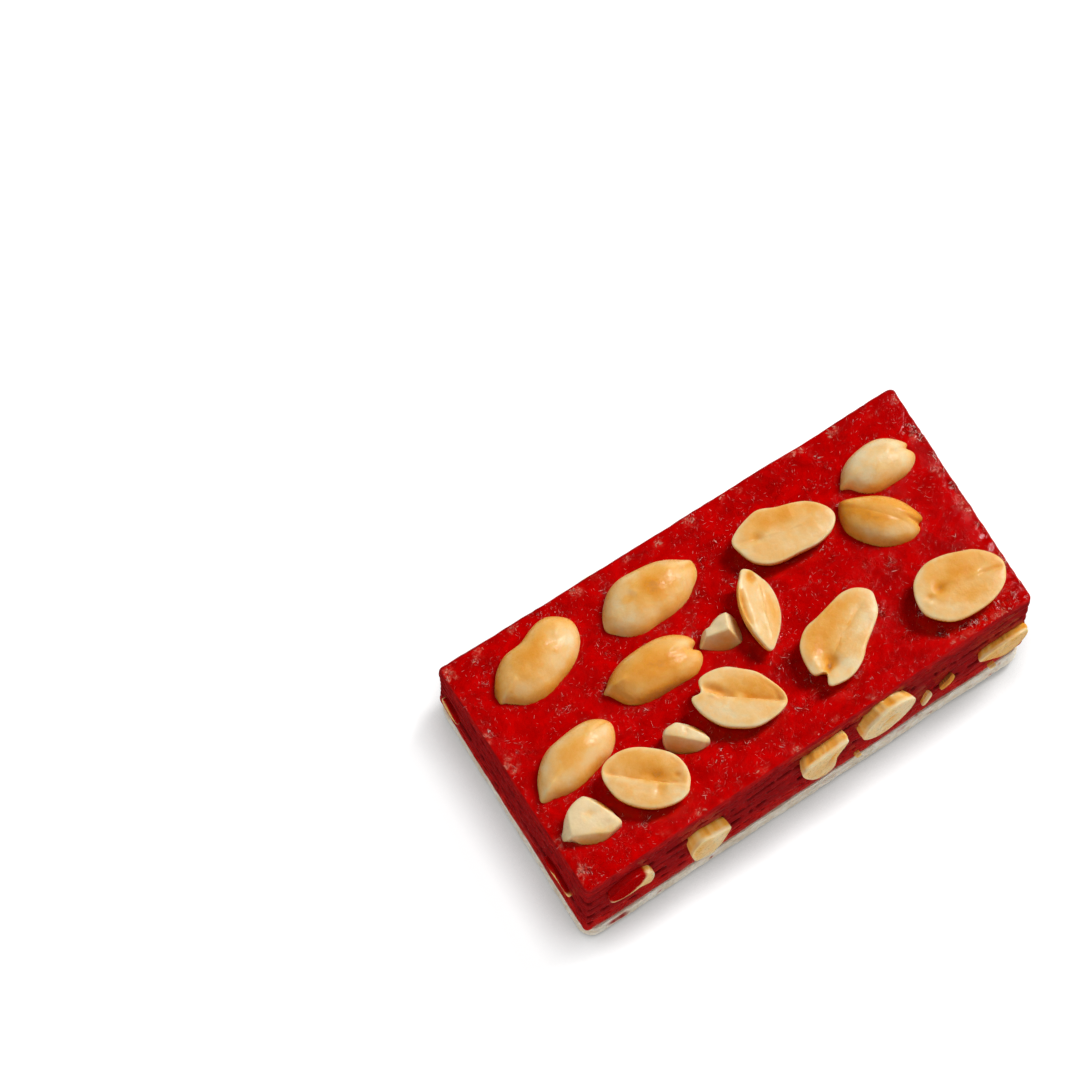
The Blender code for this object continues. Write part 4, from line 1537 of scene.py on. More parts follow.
@dataclass(frozen=True)
class Block:
    """A slab grown from a rectangle with round corners: a top sheet, side rows and an underside."""

    across_x: int
    across_y: int
    rows: int
    corner_radius: float
    edge_radius: float

    def outline_shares(self) -> tuple[Array, Array]:
        """The grid's points as shares of the bar, in rows from the front, with its corners rounded."""
        u = np.linspace(-0.5, 0.5, self.across_x + 1)
        v = np.linspace(-0.5, 0.5, self.across_y + 1)
        grid_u, grid_v = (part.ravel() for part in np.meshgrid(u, v))
        over_x = np.abs(grid_u) * BAR.length - (BAR.length / 2 - self.corner_radius)
        over_y = np.abs(grid_v) * BAR.width - (BAR.width / 2 - self.corner_radius)
        in_corner = (over_x > 0) & (over_y > 0)
        far = np.hypot(over_x, over_y)
        pull = np.where(in_corner, np.maximum(over_x, over_y) / np.where(far > 0, far, 1), 1.0)
        flat_x = BAR.length / 2 - self.corner_radius
        flat_y = BAR.width / 2 - self.corner_radius
        grid_u = np.where(in_corner, np.copysign((flat_x + over_x * pull) / BAR.length, grid_u), grid_u)
        grid_v = np.where(in_corner, np.copysign((flat_y + over_y * pull) / BAR.width, grid_v), grid_v)
        return grid_u + 0.5, grid_v + 0.5

    def border(self) -> Array:
        """The numbers of the grid's border points, counter-clockwise from the left front corner."""
        wide = self.across_x + 1
        high = self.across_y + 1
        number = np.arange(wide * high).reshape(high, wide)
        return np.concatenate([number[0, :-1], number[:-1, -1], number[-1, :0:-1], number[:0:-1, 0]])

    def grid_faces(self, first: int, upward: bool) -> list[tuple[int, ...]]:
        """The faces of a sheet.

        Args:
            first: The number of the sheet's first point.
            upward: Whether the faces look up.

        Returns:
            Each face's vertices.
        """
        wide = self.across_x + 1
        number = (np.arange(wide * (self.across_y + 1)) + first).reshape(-1, wide)
        corners = [number[:-1, :-1], number[:-1, 1:], number[1:, 1:], number[1:, :-1]]
        made = np.stack([part.ravel() for part in corners], axis=1)
        return [tuple(face) for face in (made if upward else made[:, ::-1]).tolist()]

    def outward(self, loop: Array) -> Array:
        """The outward direction at each point of a closed loop.

        Args:
            loop: The loop's points, counter-clockwise, one row of x and y each.

        Returns:
            One direction of length 1 for each.
        """
        along = np.roll(loop, -3, axis=0) - np.roll(loop, 3, axis=0)
        out = np.stack([along[:, 1], -along[:, 0]], axis=1)
        return out / np.linalg.norm(out, axis=1)[:, None]


@dataclass
class RedJelly:
    """The red block: a glossy skin on top with a rim round each nut, and pressed sheets down the sides."""

    block: Block = Block(264, 136, 84, 0.9, 0.4)
    sheets: int = 6
    sheet_shift: float = 0.22
    sheet_wave: float = 0.16
    crack_depth: float = 0.7
    crack_half: float = 0.5
    closed_at: tuple[float, ...] = (0.0, 0.3, 1.0, 0.45, 1.0, 0.55, 0.0)
    lip: float = 0.34
    lip_reach: float = 3.0
    gap: float = 0.15
    rim_height: float = 0.20
    rim_reach: float = 0.5
    patches: tuple[Patch, ...] = (
        Patch(42.3, 4.0, 20.0, 1.8, 88, 2.4),
        Patch(38.8, -16.0, 3.4, 3.4, 0, 1.2),
        Patch(41.8, 19.0, 3.4, 2.4, 90, 1.1),
        Patch(21.0, -11.5, 5.5, 1.0, -62, 1.6),
        Patch(24.5, -13.5, 5.0, 0.9, -40, 1.3),
        Patch(27.0, -18.0, 5.0, 0.8, -15, 1.4),
        Patch(20.0, -3.0, 3.0, 1.2, -70, 1.0),
        Patch(4.0, -7.0, 4.0, 1.2, -70, 1.2),
        Patch(5.0, -14.0, 4.0, 1.2, -60, 1.3),
        Patch(-40.9, 8.0, 10.0, 1.1, 90, 1.3),
        Patch(-41.8, -12.0, 8.0, 1.0, 90, 1.3),
        Patch(-40.5, -19.5, 2.6, 1.6, 60, 1.5),
        Patch(-25.0, -20.3, 9.0, 1.0, 2, 1.1),
        Patch(24.0, 10.2, 1.6, 1.2, 30, 1.4),
        Patch(2.5, 13.5, 2.2, 1.5, 30, 1.2),
    )

    def build(self, finish: Material, cut_finish: Material) -> Piece:
        """Makes the block, puts it under the root and hides its node.

        Args:
            finish: The jelly's skin on top.
            cut_finish: The jelly's cut sides.

        Returns:
            The finished piece.
        """
        s, t = self.block.outline_shares()
        border = self.block.border()
        shrink = self.block.edge_radius
        inner_s = 0.5 + (s - 0.5) * (1 - 2 * shrink / BAR.length)
        inner_t = 0.5 + (t - 0.5) * (1 - 2 * shrink / BAR.width)
        spots = BAR.spots(inner_s, inner_t)
        wrinkle = self.wrinkles(spots)
        nut_gap = self.gap_to_nuts(spots)
        heights = self.top_heights(spots, wrinkle, nut_gap)
        top = np.column_stack([spots, heights])
        loop = BAR.spots(s[border], t[border])
        out = self.block.outward(loop)
        run = np.concatenate([[0], np.cumsum(np.linalg.norm(np.diff(loop, axis=0), axis=1))])
        floor = BAR.blend(s[border], t[border], lambda c: c.base) + self.gap
        rows, cracks, levels = self.side_rows(loop, out, run, floor, heights[border])
        points = np.concatenate([top, *rows])
        count = len(border)
        faces = self.block.grid_faces(0, True)
        upper = border
        first = len(top)
        for row in range(len(rows)):
            lower = np.arange(first + row * count, first + (row + 1) * count)
            faces.extend(quads(upper, lower, np.roll(lower, -1), np.roll(upper, -1)))
            upper = lower
        faces.append(tuple(upper[::-1].tolist()))
        made = piece_from("jelly_block", points, faces, finish)
        made.data.materials.append(cut_finish)
        kinds = np.ones(len(faces), np.int32)
        kinds[: self.block.across_x * self.block.across_y] = 0
        made.data.polygons.foreach_set("material_index", kinds)
        on_side = count * len(rows)
        plain = np.zeros(on_side)
        for name, on_top, below in (
            ("side", np.zeros(len(top)), np.ones(on_side)),
            ("level", np.ones(len(top)), np.concatenate(levels)),
            ("wrinkle", wrinkle, plain),
            # Painted light: where the pale edge patches and their scraps lie.
            ("scraps_and_glow", self.scraps_and_glow_share(inner_s, inner_t), plain),
            ("crack", np.zeros(len(top)), np.concatenate(cracks)),
            ("fibres_and_glints", self.fibre_and_glint_share(spots, wrinkle, nut_gap), plain),
            # Painted glints: bright wisps where the skin is wrinkled.
            ("painted_glints", step_between(0.22, 0.75, wrinkle) * (nut_gap > 0.15), plain),
        ):
            give_numbers(made, name, np.concatenate([on_top, below]))
        belongs(made, Slot.JELLY, "red_jelly")
        return made

    def wrinkles(self, spots: Array) -> Array:
        """How wrinkled the skin is.

        Args:
            spots: One row of x and y for each place on the top.

        Returns:
            From 0, smooth, to 1.
        """
        total = np.full(len(spots), 0.30)
        for patch in self.patches:
            total = np.maximum(total, patch.strength(spots))
        wide = step_between(-0.05, 0.55, smooth_noise(spots, 3.4, 7.0))
        broken = wide * step_between(-0.25, 0.35, smooth_noise(spots, 1.1, 8.0))
        return np.clip(total * (0.12 + 1.5 * broken), 0.0, 1.0)

    def scraps_and_glow_share(self, s: Array, t: Array) -> Array:
        """How far each place of the top is covered by pale patches, which gather along its edges: partly
        scraps, partly painted glow through thin raised flaps, with a painted highlight along the right edge.

        Args:
            s: Shares of the length.
            t: Shares of the width.

        Returns:
            From 0 to 1.
        """
        spots = BAR.spots(s, t)
        near = np.zeros(len(spots))
        for inset, reach, amount in (
            ((1 - t) * BAR.width, 0.9, 1.0),
            (s * BAR.length, 0.9, 0.9),
            ((1 - s) * BAR.length, 0.7, 0.8),
            (t * BAR.width, 0.6, 0.4),
        ):
            near = np.maximum(near, amount * np.exp(-(((inset - 0.9) / reach) ** 2)))
        patchy = step_between(0.12, 0.40, smooth_noise(spots, 3.0, 14.0))
        broken = step_between(-0.35, 0.2, smooth_noise(spots, 0.8, 15.0))
        return np.clip(near * patchy * broken * 1.6, 0.0, 1.0)

    def fibre_and_glint_share(self, spots: Array, wrinkle: Array, nut_gap: Array) -> Array:
        """How often each place carries a pale thread, partly a fibre in the skin and partly a painted glint:
        in clusters, in wrinkles, and in a ring of painted glints round each nut.

        Args:
            spots: One row of x and y for each place.
            wrinkle: How wrinkled each is.
            nut_gap: How far each is from the nearest nut.

        Returns:
            From 0 to 1.
        """
        cluster = step_between(0.0, 0.5, smooth_noise(spots, 2.4, 17.0))
        cluster = cluster * step_between(-0.2, 0.4, smooth_noise(spots, 0.9, 18.0))
        # Painted glints: a broken ring just outside each nut.
        ring = np.exp(-(((nut_gap - 0.9) / 0.3) ** 2))
        ring = ring * step_between(-0.1, 0.4, smooth_noise(spots, 1.3, 19.0))
        return np.clip(0.28 + 0.5 * cluster + 0.7 * wrinkle + 0.6 * ring, 0.0, 1.0) * (nut_gap > 0.1)

    def gap_to_nuts(self, spots: Array) -> Array:
        """The distance to the nearest nut, negative under it."""
        gap = np.full(len(spots), FAR_AWAY)
        for kernel in TOP_KERNELS:
            gap = np.minimum(gap, self.distance_to(kernel.contact(), spots))
        return gap

    def top_heights(self, spots: Array, wrinkle: Array, nut_gap: Array) -> Array:
        """The height of the top: its waves, its wrinkles, and the rim that it draws up round each nut.

        Args:
            spots: One row of x and y for each place.
            wrinkle: How wrinkled each is.
            nut_gap: How far each is from the nearest nut.

        Returns:
            The height at each place.
        """
        heights = BAR.top(spots) + 0.05 * smooth_noise(spots, 4.0, 1.0)
        bent = spots + 0.8 * np.stack([smooth_noise(spots, 2.5, 3.0), smooth_noise(spots, 2.5, 4.0)], axis=1)
        folds = 1 - np.abs(smooth_noise(bent, 1.25, 5.0)) * 2.6
        heights = heights + 0.38 * wrinkle * (folds - 0.6)
        s, _ = BAR.shares(spots)
        brink = np.exp(-(((1 - s) * BAR.length / 1.3) ** 2))
        heights = heights - 0.42 * brink * (0.8 + 0.8 * smooth_noise(spots, 1.4, 27.0))
        uneven = 0.75 + 0.6 * smooth_noise(spots, 1.8, 6.0)
        rise = self.rim_height * uneven * np.exp(-np.maximum(nut_gap, 0) / self.rim_reach)
        sink = 1.3 * (1 - np.exp(np.minimum(nut_gap, 0) / 0.5))
        return heights + rise - sink

    def distance_to(self, loop: Array, spots: Array) -> Array:
        """The distance of places from a closed outline, negative inside it.

        Args:
            loop: The outline's points.
            spots: The places.

        Returns:
            One distance for each place. Far places share one large number.
        """
        middle = loop.mean(axis=0)
        reach = np.linalg.norm(loop - middle, axis=1).max() + 3
        gap = np.full(len(spots), FAR_AWAY)
        close = np.flatnonzero(np.linalg.norm(spots - middle, axis=1) < reach)
        here = spots[close]
        start, end = loop, np.roll(loop, -1, axis=0)
        step = end - start
        share = ((here[:, None, :] - start) * step).sum(axis=2) / (step**2).sum(axis=1)
        nearest = start + np.clip(share, 0, 1)[:, :, None] * step
        far = np.linalg.norm(here[:, None, :] - nearest, axis=2).min(axis=1)
        crosses = (start[:, 1] > here[:, None, 1]) != (end[:, 1] > here[:, None, 1])
        level = np.where(np.abs(step[:, 1]) < 1e-9, 1e-9, step[:, 1])
        at = start[:, 0] + (here[:, None, 1] - start[:, 1]) / level * step[:, 0]
        inside = (crosses & (here[:, None, 0] < at)).sum(axis=1) % 2 == 1
        gap[close] = np.where(inside, -far, far)
        return gap

    def side_rows(
        self, loop: Array, out: Array, run: Array, floor: Array, head: Array
    ) -> tuple[list[Array], list[Array], list[Array]]:
        """The side's rows from the top down: a rounded edge, then sheets with broken cracks between them.

        Args:
            loop: The outline's points.
            out: The outward direction at each.
            run: The way along the outline to each.
            floor: The block's underside at each.
            head: The block's top at each.

        Returns:
            The rows' points, how deep in a crack each point is, and each point's share of the height.
        """
        radius = self.block.edge_radius
        around = run * math.tau / run[-1]
        ways = np.stack([np.cos(around), np.sin(around)], axis=1) * run[-1] / math.tau
        wander = 0.30 * smooth_noise(ways, 9.0, 21.0) + 0.10 * smooth_noise(ways, 2.5, 22.0)
        openings = [
            self.closed_at[edge] * step_between(-0.06, 0.10, smooth_noise(ways, 1.35, 50.0 + edge * 3.1))
            for edge in range(self.sheets + 1)
        ]
        rows, cracks, levels = [], [], []
        near_top = np.full(len(loop), 1 - 1e-3)
        push, _ = self.push_at(loop, ways, near_top, wander, openings, head - floor)
        for angle in np.linspace(0, math.pi / 2, 5)[1:-1]:
            inset = radius * (1 - math.sin(angle))
            spot = loop + out * (push * math.sin(angle) - inset)[:, None]
            rows.append(np.column_stack([spot, head - radius * (1 - math.cos(angle))]))
            cracks.append(np.zeros(len(loop)))
            levels.append(np.ones(len(loop)))
        upper = head - radius
        for share in np.linspace(1, 0, self.block.rows):
            height = floor + (upper - floor) * share
            level = (height - floor) / (head - floor)
            push, crack = self.push_at(loop, ways, level, wander, openings, head - floor)
            rows.append(np.column_stack([loop + out * push[:, None], height]))
            cracks.append(crack)
            levels.append(level)
        return rows, cracks, levels

    def push_at(
        self, loop: Array, ways: Array, level: Array, wander: Array, openings: list[Array], tall: Array
    ) -> tuple[Array, Array]:
        """How far the side stands out at a level, and how deep in a crack it is there.

        Args:
            loop: The outline's points.
            ways: The points laid out on a circle, so that patterns close round the block.
            level: Each point's share of the block's height.
            wander: How far the sheets' borders rise and fall, in sheets.
            openings: How far each border gapes at each point, from 0 to 1.
            tall: The block's height at each point.

        Returns:
            The push outwards, and from 0 to 1 for cracks.
        """
        loose = step_between(0.0, 0.12, level) * (1 - step_between(0.9, 1.0, level))
        at = np.clip(level * self.sheets + wander * loose, 0, self.sheets - 1e-6)
        sheet = np.floor(at)
        push = np.zeros(len(loop))
        crack = np.zeros(len(loop))
        for number in range(self.sheets):
            mine = sheet == number
            if not mine.any():
                continue
            shift = self.sheet_shift * noise.noise(Vector((number * 3.7, 1.3, 0.4)))
            wave = self.sheet_wave * smooth_noise(loop[mine], 9.0, (number + 1.2) * 7.3)
            ragged = 0.07 * smooth_noise(ways[mine], 1.6, 30.0 + number)
            push[mine] = shift + wave + ragged
        ends = np.array([(corner.x, corner.y) for corner in BAR.corners()])
        apart = np.linalg.norm(loop[:, None, :] - ends, axis=2).min(axis=1)
        rounded = np.sqrt(np.clip(4 * (at - sheet) * (1 - at + sheet), 0.0, 1.0)) - 1
        lip = 0.05 + self.lip * np.exp(-((apart / self.lip_reach) ** 2))
        push += lip * rounded * (1 - step_between(0.93, 1.0, level))
        for edge in range(1, self.sheets):
            away = np.abs(at - edge) / self.sheets * tall
            seam = 0.05 * np.exp(-((away / 0.2) ** 2)) * self.closed_at[edge]
            gape = np.clip(1 - away / (self.crack_half * openings[edge] + 1e-3), 0.0, 1.0)
            gape = gape * (openings[edge] > 0.08)
            push -= seam + self.crack_depth * np.sqrt(gape) * openings[edge]
            crack = np.maximum(crack, step_between(0.0, 0.5, gape))
        return push, crack


@dataclass
class NougatBase:
    """The thin white slab under the jelly, with soft lumps and a ragged upper edge."""

    block: Block = Block(180, 92, 22, 2.2, 0.25)
    bulge: float = 0.5
    foot_inset: float = 0.25
    lumps: float = 0.30
    short: Triple = (0.35, 0.75, 0.4)
    gap: float = 0.15
    stains: tuple[tuple[float, float], ...] = (
        (-38.9, 0.75), (-37.4, 0.9), (-30.2, 0.35), (-20.5, 0.3), (3.0, 0.4), (21.5, 0.3), (33.0, 0.35),
    )

    def build(self, finish: Material) -> Piece:
        """Makes the slab, puts it under the root and hides its node.

        Args:
            finish: The nougat material.

        Returns:
            The finished piece.
        """
        s, t = self.block.outline_shares()
        border = self.block.border()
        spots = self.pulled_in(s, t)
        loop = spots[border]
        out = self.block.outward(loop)
        head = BAR.blend(s, t, lambda c: c.base) - self.gap
        rows = []
        for share in np.linspace(0, 1, self.block.rows):
            push = self.push_at(loop, share)
            rows.append(np.column_stack([loop + out * push[:, None], head[border] * share]))
        top = np.column_stack([spots, head])
        top[border, :2] = rows[-1][:, :2]
        bottom = np.column_stack([spots, np.zeros(len(spots))])
        bottom[border, :2] = rows[0][:, :2]
        points = np.concatenate([top, bottom, *rows[1:-1]])
        faces = self.block.grid_faces(0, True) + self.block.grid_faces(len(top), False)
        count = len(border)
        first = len(top) * 2
        lower = border + len(top)
        for row in range(len(rows) - 2):
            upper = np.arange(first + row * count, first + (row + 1) * count)
            faces.extend(quads(lower, np.roll(lower, -1), np.roll(upper, -1), upper))
            lower = upper
        upper = border
        faces.extend(quads(lower, np.roll(lower, -1), np.roll(upper, -1), upper))
        made = piece_from("nougat_slab", points, faces, finish)
        give_numbers(made, "stain", self.stained(points))
        belongs(made, Slot.NOUGAT, "nougat_base")
        return made

    def pulled_in(self, s: Array, t: Array) -> Array:
        """The outline's places, with the left end, right end and back drawn in.

        Args:
            s: Shares of the length.
            t: Shares of the width.

        Returns:
            One row of x and y for each.
        """
        left, right, back = self.short
        spots = BAR.spots(s, t)
        spots[:, 0] += left * (1 - s) - right * s
        spots[:, 1] -= back * t
        return spots

    def push_at(self, loop: Array, share: float) -> Array:
        """How far the slab's side stands out at a share of its height.

        Args:
            loop: The outline's points.
            share: The share of the height.

        Returns:
            The push outwards at each point.
        """
        belly = self.bulge * (math.sin(math.pi * (0.12 + 0.8 * share)) ** 0.7)
        wave = self.lumps * smooth_noise(loop, 9.0, 7.3 * (1 + 0.8 * share))
        where = np.column_stack([loop, np.full(len(loop), share * 3.0)])
        fine = 0.10 * smooth_noise(where, 1.1, 3.0, 2) + 0.08 * smooth_noise(where, 2.6, 9.0)
        ends = 1.0 - step_between(0.0, 0.16, np.array([share]))[0]
        return belly + wave * math.sin(math.pi * (0.1 + 0.8 * share)) + fine - self.foot_inset * ends

    def stained(self, points: Array) -> Array:
        """How red each point is: a few scraps of jelly stick to the front side.

        Args:
            points: The slab's points.

        Returns:
            From 0 to 1 for each.
        """
        total = np.zeros(len(points))
        for x, size in self.stains:
            off_x = (points[:, 0] - x) / (size * 1.3)
            off_z = (points[:, 2] - 1.6) / (size * 0.8)
            near = (points[:, 1] < -10) * np.exp(-((off_x**2 + off_z**2) ** 1.5))
            total = np.maximum(total, near)
        broken = smooth_noise(points, 1.2, 12.0, 2)
        edge = step_between(0.35, 0.75, broken) * step_between(0.7, 0.95, points[:, 2] / 3.2)
        return np.clip(total + 0.5 * edge, 0.0, 1.0)


# What Geometry Nodes scatter.


class ScatterTree:
    """A Geometry Nodes tree that scatters small shapes on a surface."""

    def __init__(self, name: str) -> None:
        """Makes the tree with its geometry input and output.

        Args:
            name: The tree's name.
        """
        self.tree = bpy.data.node_groups.new(name, "GeometryNodeTree")
        self.face = self.tree.interface
        self.face.new_socket("Surface", in_out="INPUT", socket_type="NodeSocketGeometry")
        self.face.new_socket("Scattered", in_out="OUTPUT", socket_type="NodeSocketGeometry")
        self.start = self.tree.nodes.new("NodeGroupInput")
        self.end = self.tree.nodes.new("NodeGroupOutput")
        self.sockets: dict[str, str] = {}

    def input(self, name: str, kind: str) -> None:
        """Adds a named input.

        Args:
            name: Its name.
            kind: Its socket type.
        """
        made = self.face.new_socket(name, in_out="INPUT", socket_type=kind)
        self.sockets[name] = made.identifier

    def add(self, kind: str, fed: Mapping[str | int, object], **settings: object) -> bpy.types.Node:
        """Adds a node.

        Args:
            kind: The node's type.
            fed: A socket or a plain value for some of its inputs.
            settings: Values for its own properties.

        Returns:
            The node.
        """
        node = self.tree.nodes.new(kind)
        for key, value in settings.items():
            setattr(node, key, value)
        for key, source in fed.items():
            if isinstance(source, Socket):
                self.tree.links.new(source, node.inputs[key])
            else:
                node.inputs[key].default_value = source
        return node

    def product(self, first: Socket, second: Socket) -> Socket:
        """The product of two numbers."""
        return self.add("ShaderNodeMath", {0: first, 1: second}, operation="MULTIPLY").outputs[0]


@dataclass(frozen=True)
class Scatter:
    """Small threads or scraps on a surface, each a short bent tube, dense where a stored number is high."""

    name: str
    slot: Slot
    carries: str
    finish: FleckFinish
    density: float
    length: Point
    thickness: float
    flatness: float
    seed: int
    sink: float
    bend: float = 0.3
    around: int = 5
    steps: int = 5
    lean: float = 0.10

    def tree(self) -> ScatterTree:
        """Builds the tree: points on the surface, a bent tube on each, turned about the surface's normal."""
        sheet = ScatterTree(self.name + "_scatter")
        for name in ("Density", "Shortest", "Longest", "Thickness", "Flatness", "Bend", "Sink"):
            sheet.input(name, "NodeSocketFloat")
        sheet.input("Seed", "NodeSocketInt")
        sheet.input("Finish", "NodeSocketMaterial")
        given = sheet.start.outputs
        often = sheet.add("GeometryNodeInputNamedAttribute", {"Name": self.carries}, data_type="FLOAT")
        density = sheet.product(given["Density"], often.outputs["Attribute"])
        points = sheet.add(
            "GeometryNodeDistributePointsOnFaces",
            {"Mesh": given["Surface"], "Density": density, "Seed": given["Seed"]},
            distribute_method="RANDOM",
        )
        middle = sheet.add("ShaderNodeCombineXYZ", {"Y": given["Bend"]}).outputs[0]
        arc = sheet.add(
            "GeometryNodeCurveQuadraticBezier",
            {"Resolution": self.steps, "Start": (-0.5, 0.0, 0.0), "Middle": middle, "End": (0.5, 0.0, 0.0)},
        )
        ring = sheet.add("GeometryNodeCurvePrimitiveCircle", {"Resolution": self.around, "Radius": 0.5})
        tube = sheet.add(
            "GeometryNodeCurveToMesh",
            {"Curve": arc.outputs[0], "Profile Curve": ring.outputs[0], "Fill Caps": True},
        )
        thin = sheet.product(given["Thickness"], given["Flatness"])
        scale = sheet.add("ShaderNodeCombineXYZ", {"X": 1.0, "Y": given["Thickness"], "Z": thin})
        shape = sheet.add("GeometryNodeTransform", {"Geometry": tube.outputs[0], "Scale": scale.outputs[0]})
        return self.finished(sheet, points, shape)

    def finished(self, sheet: ScatterTree, points: bpy.types.Node, shape: bpy.types.Node) -> ScatterTree:
        """Adds the turning, sizing, realising and finish.

        Args:
            sheet: The tree.
            points: The node that makes the points.
            shape: The node that makes one shape.

        Returns:
            The tree.
        """
        given = sheet.start.outputs
        lean = self.lean
        spin = sheet.add(
            "FunctionNodeRandomValue",
            {"Min": (-lean, -lean, 0.0), "Max": (lean, lean, math.tau), "Seed": given["Seed"]},
            data_type="FLOAT_VECTOR",
        )
        as_turn = sheet.add("FunctionNodeEulerToRotation", {0: spin.outputs["Value"]})
        turned = sheet.add(
            "FunctionNodeRotateRotation",
            {0: points.outputs["Rotation"], 1: as_turn.outputs[0]},
            rotation_space="LOCAL",
        )
        size = sheet.add(
            "FunctionNodeRandomValue", {2: given["Shortest"], 3: given["Longest"]}, data_type="FLOAT"
        )
        put = sheet.add(
            "GeometryNodeInstanceOnPoints",
            {
                "Points": points.outputs["Points"],
                "Instance": shape.outputs[0],
                "Rotation": turned.outputs[0],
                "Scale": size.outputs[1],
            },
        )
        down = sheet.add("ShaderNodeCombineXYZ", {"Z": given["Sink"]}).outputs[0]
        low = sheet.add("GeometryNodeTranslateInstances", {"Instances": put.outputs[0], "Translation": down})
        smooth = sheet.add("GeometryNodeSetShadeSmooth", {"Geometry": low.outputs[0]})
        real = sheet.add("GeometryNodeRealizeInstances", {"Geometry": smooth.outputs[0]}).outputs[0]
        dressed = sheet.add("GeometryNodeSetMaterial", {"Geometry": real, "Material": given["Finish"]})
        sheet.tree.links.new(dressed.outputs[0], sheet.end.inputs[0])
        return sheet

    def build(self, surface: Piece) -> Piece:
        """Scatters the shapes on a copy of a surface and keeps the result as a plain mesh.

        Args:
            surface: The piece that carries them.

        Returns:
            The finished piece.
        """
        carrier = bpy.data.objects.new(self.name + "_carrier", surface.data.copy())
        bpy.context.scene.collection.objects.link(carrier)
        sheet = self.tree()
        modifier = carrier.modifiers.new(self.name, "NODES")
        modifier.node_group = sheet.tree
        values = {
            "Density": self.density * 1e6,
            "Shortest": self.length[0] * MM,
            "Longest": self.length[1] * MM,
            "Thickness": self.thickness,
            "Flatness": self.flatness,
            "Bend": self.bend,
            "Sink": -self.sink * MM,
            "Seed": self.seed,
            "Finish": self.finish.build(),
        }
        for name, value in values.items():
            modifier[sheet.sockets[name]] = value
        bpy.context.view_layer.update()
        graph = bpy.context.evaluated_depsgraph_get()
        mesh = bpy.data.meshes.new_from_object(carrier.evaluated_get(graph))
        carrier.modifiers.clear()
        bpy.data.objects.remove(carrier, do_unlink=True)
        mesh.name = self.name
        made = bpy.data.objects.new(self.name, mesh)
        bpy.context.scene.collection.objects.link(made)
        belongs(made, self.slot)
        return made


SCATTERS = (
    # Painted glints: bright pale wisps stand in for the highlights in the wrinkles.
    Scatter(
        "jelly_wisps", Slot.JELLY, "painted_glints",
        FleckFinish("bright_wisps", (1.0, 0.20, 0.16), (1.0, 0.66, 0.57), roughness=0.2, patch=1.1),
        density=7.0, length=(0.16, 0.62), thickness=0.18, flatness=0.5, seed=13, sink=0.015, bend=0.9,
        around=4, steps=4,
    ),
    # Pale threads: partly fine fibres in the skin, partly painted glints.
    Scatter(
        "jelly_threads", Slot.JELLY, "fibres_and_glints", FleckFinish(),
        density=2.6, length=(0.12, 0.5), thickness=0.14, flatness=0.7, seed=11, sink=0.01, bend=0.6,
        around=4, steps=2,
    ),
    # Edge scraps: raised flaps whose pale colour is partly painted glow.
    Scatter(
        "jelly_glowing_scraps", Slot.JELLY, "scraps_and_glow",
        FleckFinish("glowing_scrap_finish", (0.72, 0.05, 0.03), (0.88, 0.25, 0.17), roughness=0.4),
        density=4.0, length=(0.2, 0.7), thickness=0.5, flatness=0.3, seed=12, sink=0.04,
    ),
)


# The studio.


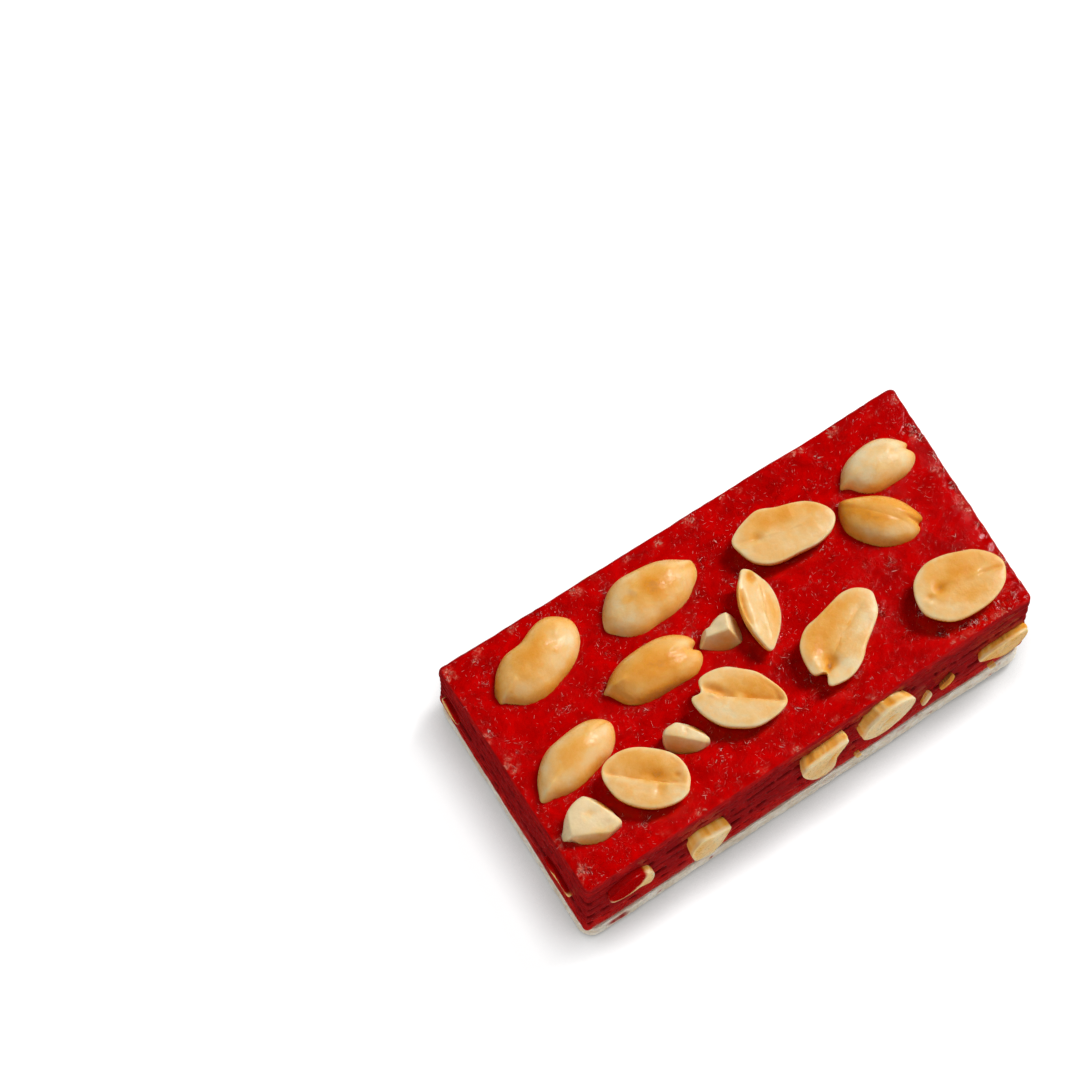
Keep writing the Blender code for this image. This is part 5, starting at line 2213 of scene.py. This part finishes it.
@dataclass(frozen=True)
class Studio:
    """The floor, the lights and the camera."""

    azimuth: float = -33.2
    elevation: float = 64.0
    target: Triple = (-12.45, 37.47, 0.0)
    distance: float = 791.73
    lens: float = 166.67
    floor_size: float = 3.0
    key_from: Triple = (0.74, 0.10, 0.66)
    key_strength: float = 1.95
    key_spread: float = 18.0
    glint_from: Triple = (0.60, 0.17, 0.78)
    glint_strength: float = 1.1
    glint_spread: float = 14.0
    sky_low: float = 0.04
    sky_high: float = 0.48
    sky_from: Triple = (-0.80, -0.42, 0.42)
    sky_edges: Point = (-0.2, 0.95)

    def back(self) -> Vector:
        """The direction from the target to the camera."""
        azimuth, elevation = math.radians(self.azimuth), math.radians(self.elevation)
        flat = math.cos(elevation)
        return Vector((math.sin(azimuth) * flat, -math.cos(azimuth) * flat, math.sin(elevation)))

    def add_camera(self) -> None:
        """Puts the camera at the photograph's viewing angle."""
        data = bpy.data.cameras.new("camera")
        data.lens = self.lens
        data.sensor_width = 36.0
        data.clip_start = 0.01
        data.clip_end = 10.0
        camera = bpy.data.objects.new("camera", data)
        bpy.context.scene.collection.objects.link(camera)
        camera.location = (Vector(self.target) + self.back() * self.distance) * MM
        camera.rotation_mode = "QUATERNION"
        camera.rotation_quaternion = (-self.back()).to_track_quat("-Z", "Y")
        bpy.context.scene.camera = camera

    def add_floor(self) -> None:
        """Lays the plain pale floor under the bar."""
        half = self.floor_size / 2 / MM
        corners = np.array([(-half, -half, 0), (half, -half, 0), (half, half, 0), (-half, half, 0)], float)
        floor = piece_from("floor", corners - (0, 0, 0.02), [(0, 1, 2, 3)], FloorFinish().build())
        floor.visible_glossy = False

    def add_lights(self) -> None:
        """Adds a soft key light and a soft sky, which nothing mirrors, and a light for the glints."""
        for name, source, strength, spread, mirrored in (
            ("key", self.key_from, self.key_strength, self.key_spread, False),
            ("glint", self.glint_from, self.glint_strength, self.glint_spread, True),
        ):
            data = bpy.data.lights.new(name, "SUN")
            data.energy = strength
            data.angle = math.radians(spread)
            sun = bpy.data.objects.new(name, data)
            bpy.context.scene.collection.objects.link(sun)
            sun.rotation_mode = "QUATERNION"
            sun.rotation_quaternion = (-Vector(source)).to_track_quat("-Z", "Y")
            sun.visible_glossy = mirrored
        world = bpy.data.worlds.new("soft_sky")
        bpy.context.scene.world = world
        world.use_nodes = True
        tree = world.node_tree
        sky = tree.nodes["Background"]
        sky.inputs["Color"].default_value = (1.0, 1.0, 1.0, 1.0)
        where = tree.nodes.new("ShaderNodeTexCoord")
        toward = tree.nodes.new("ShaderNodeVectorMath")
        toward.operation = "DOT_PRODUCT"
        toward.inputs[1].default_value = Vector(self.sky_from).normalized()
        tree.links.new(where.outputs["Generated"], toward.inputs[0])
        strength = tree.nodes.new("ShaderNodeMapRange")
        strength.interpolation_type = "SMOOTHSTEP"
        for socket, value in zip(strength.inputs[1:5], (*self.sky_edges, self.sky_low, self.sky_high)):
            socket.default_value = value
        tree.links.new(toward.outputs["Value"], strength.inputs[0])
        tree.links.new(strength.outputs[0], sky.inputs["Strength"])
        world.cycles_visibility.glossy = False

    def build(self) -> None:
        """Builds the studio and sets how light becomes colour."""
        self.add_floor()
        self.add_lights()
        self.add_camera()
        view = bpy.context.scene.view_settings
        view.view_transform = "Standard"
        view.look = "None"


def main() -> None:
    """Builds every piece in order."""
    logging.basicConfig(level=logging.INFO, format="%(message)s")
    peanut = PeanutFinish().build()
    jelly = RedJelly()
    block = jelly.build(JellyFinish().build(), JellyFinish("red_jelly_cut", 0.1).build())
    log.info("%s: %d faces", block.name, len(block.data.polygons))
    base = NougatBase().build(NougatFinish().build())
    log.info("%s: %d faces", base.name, len(base.data.polygons))
    for nut in (*TOP_KERNELS, *FRONT_NUTS, *OTHER_NUTS, *CRUMBS):
        made = nut.build(peanut)
        log.info("%s: %d faces", made.name, len(made.data.polygons))
    for scatter in SCATTERS:
        made = scatter.build(block)
        log.info("%s: %d faces", made.name, len(made.data.polygons))
    Studio().build()


if __name__ == "__main__":
    main()
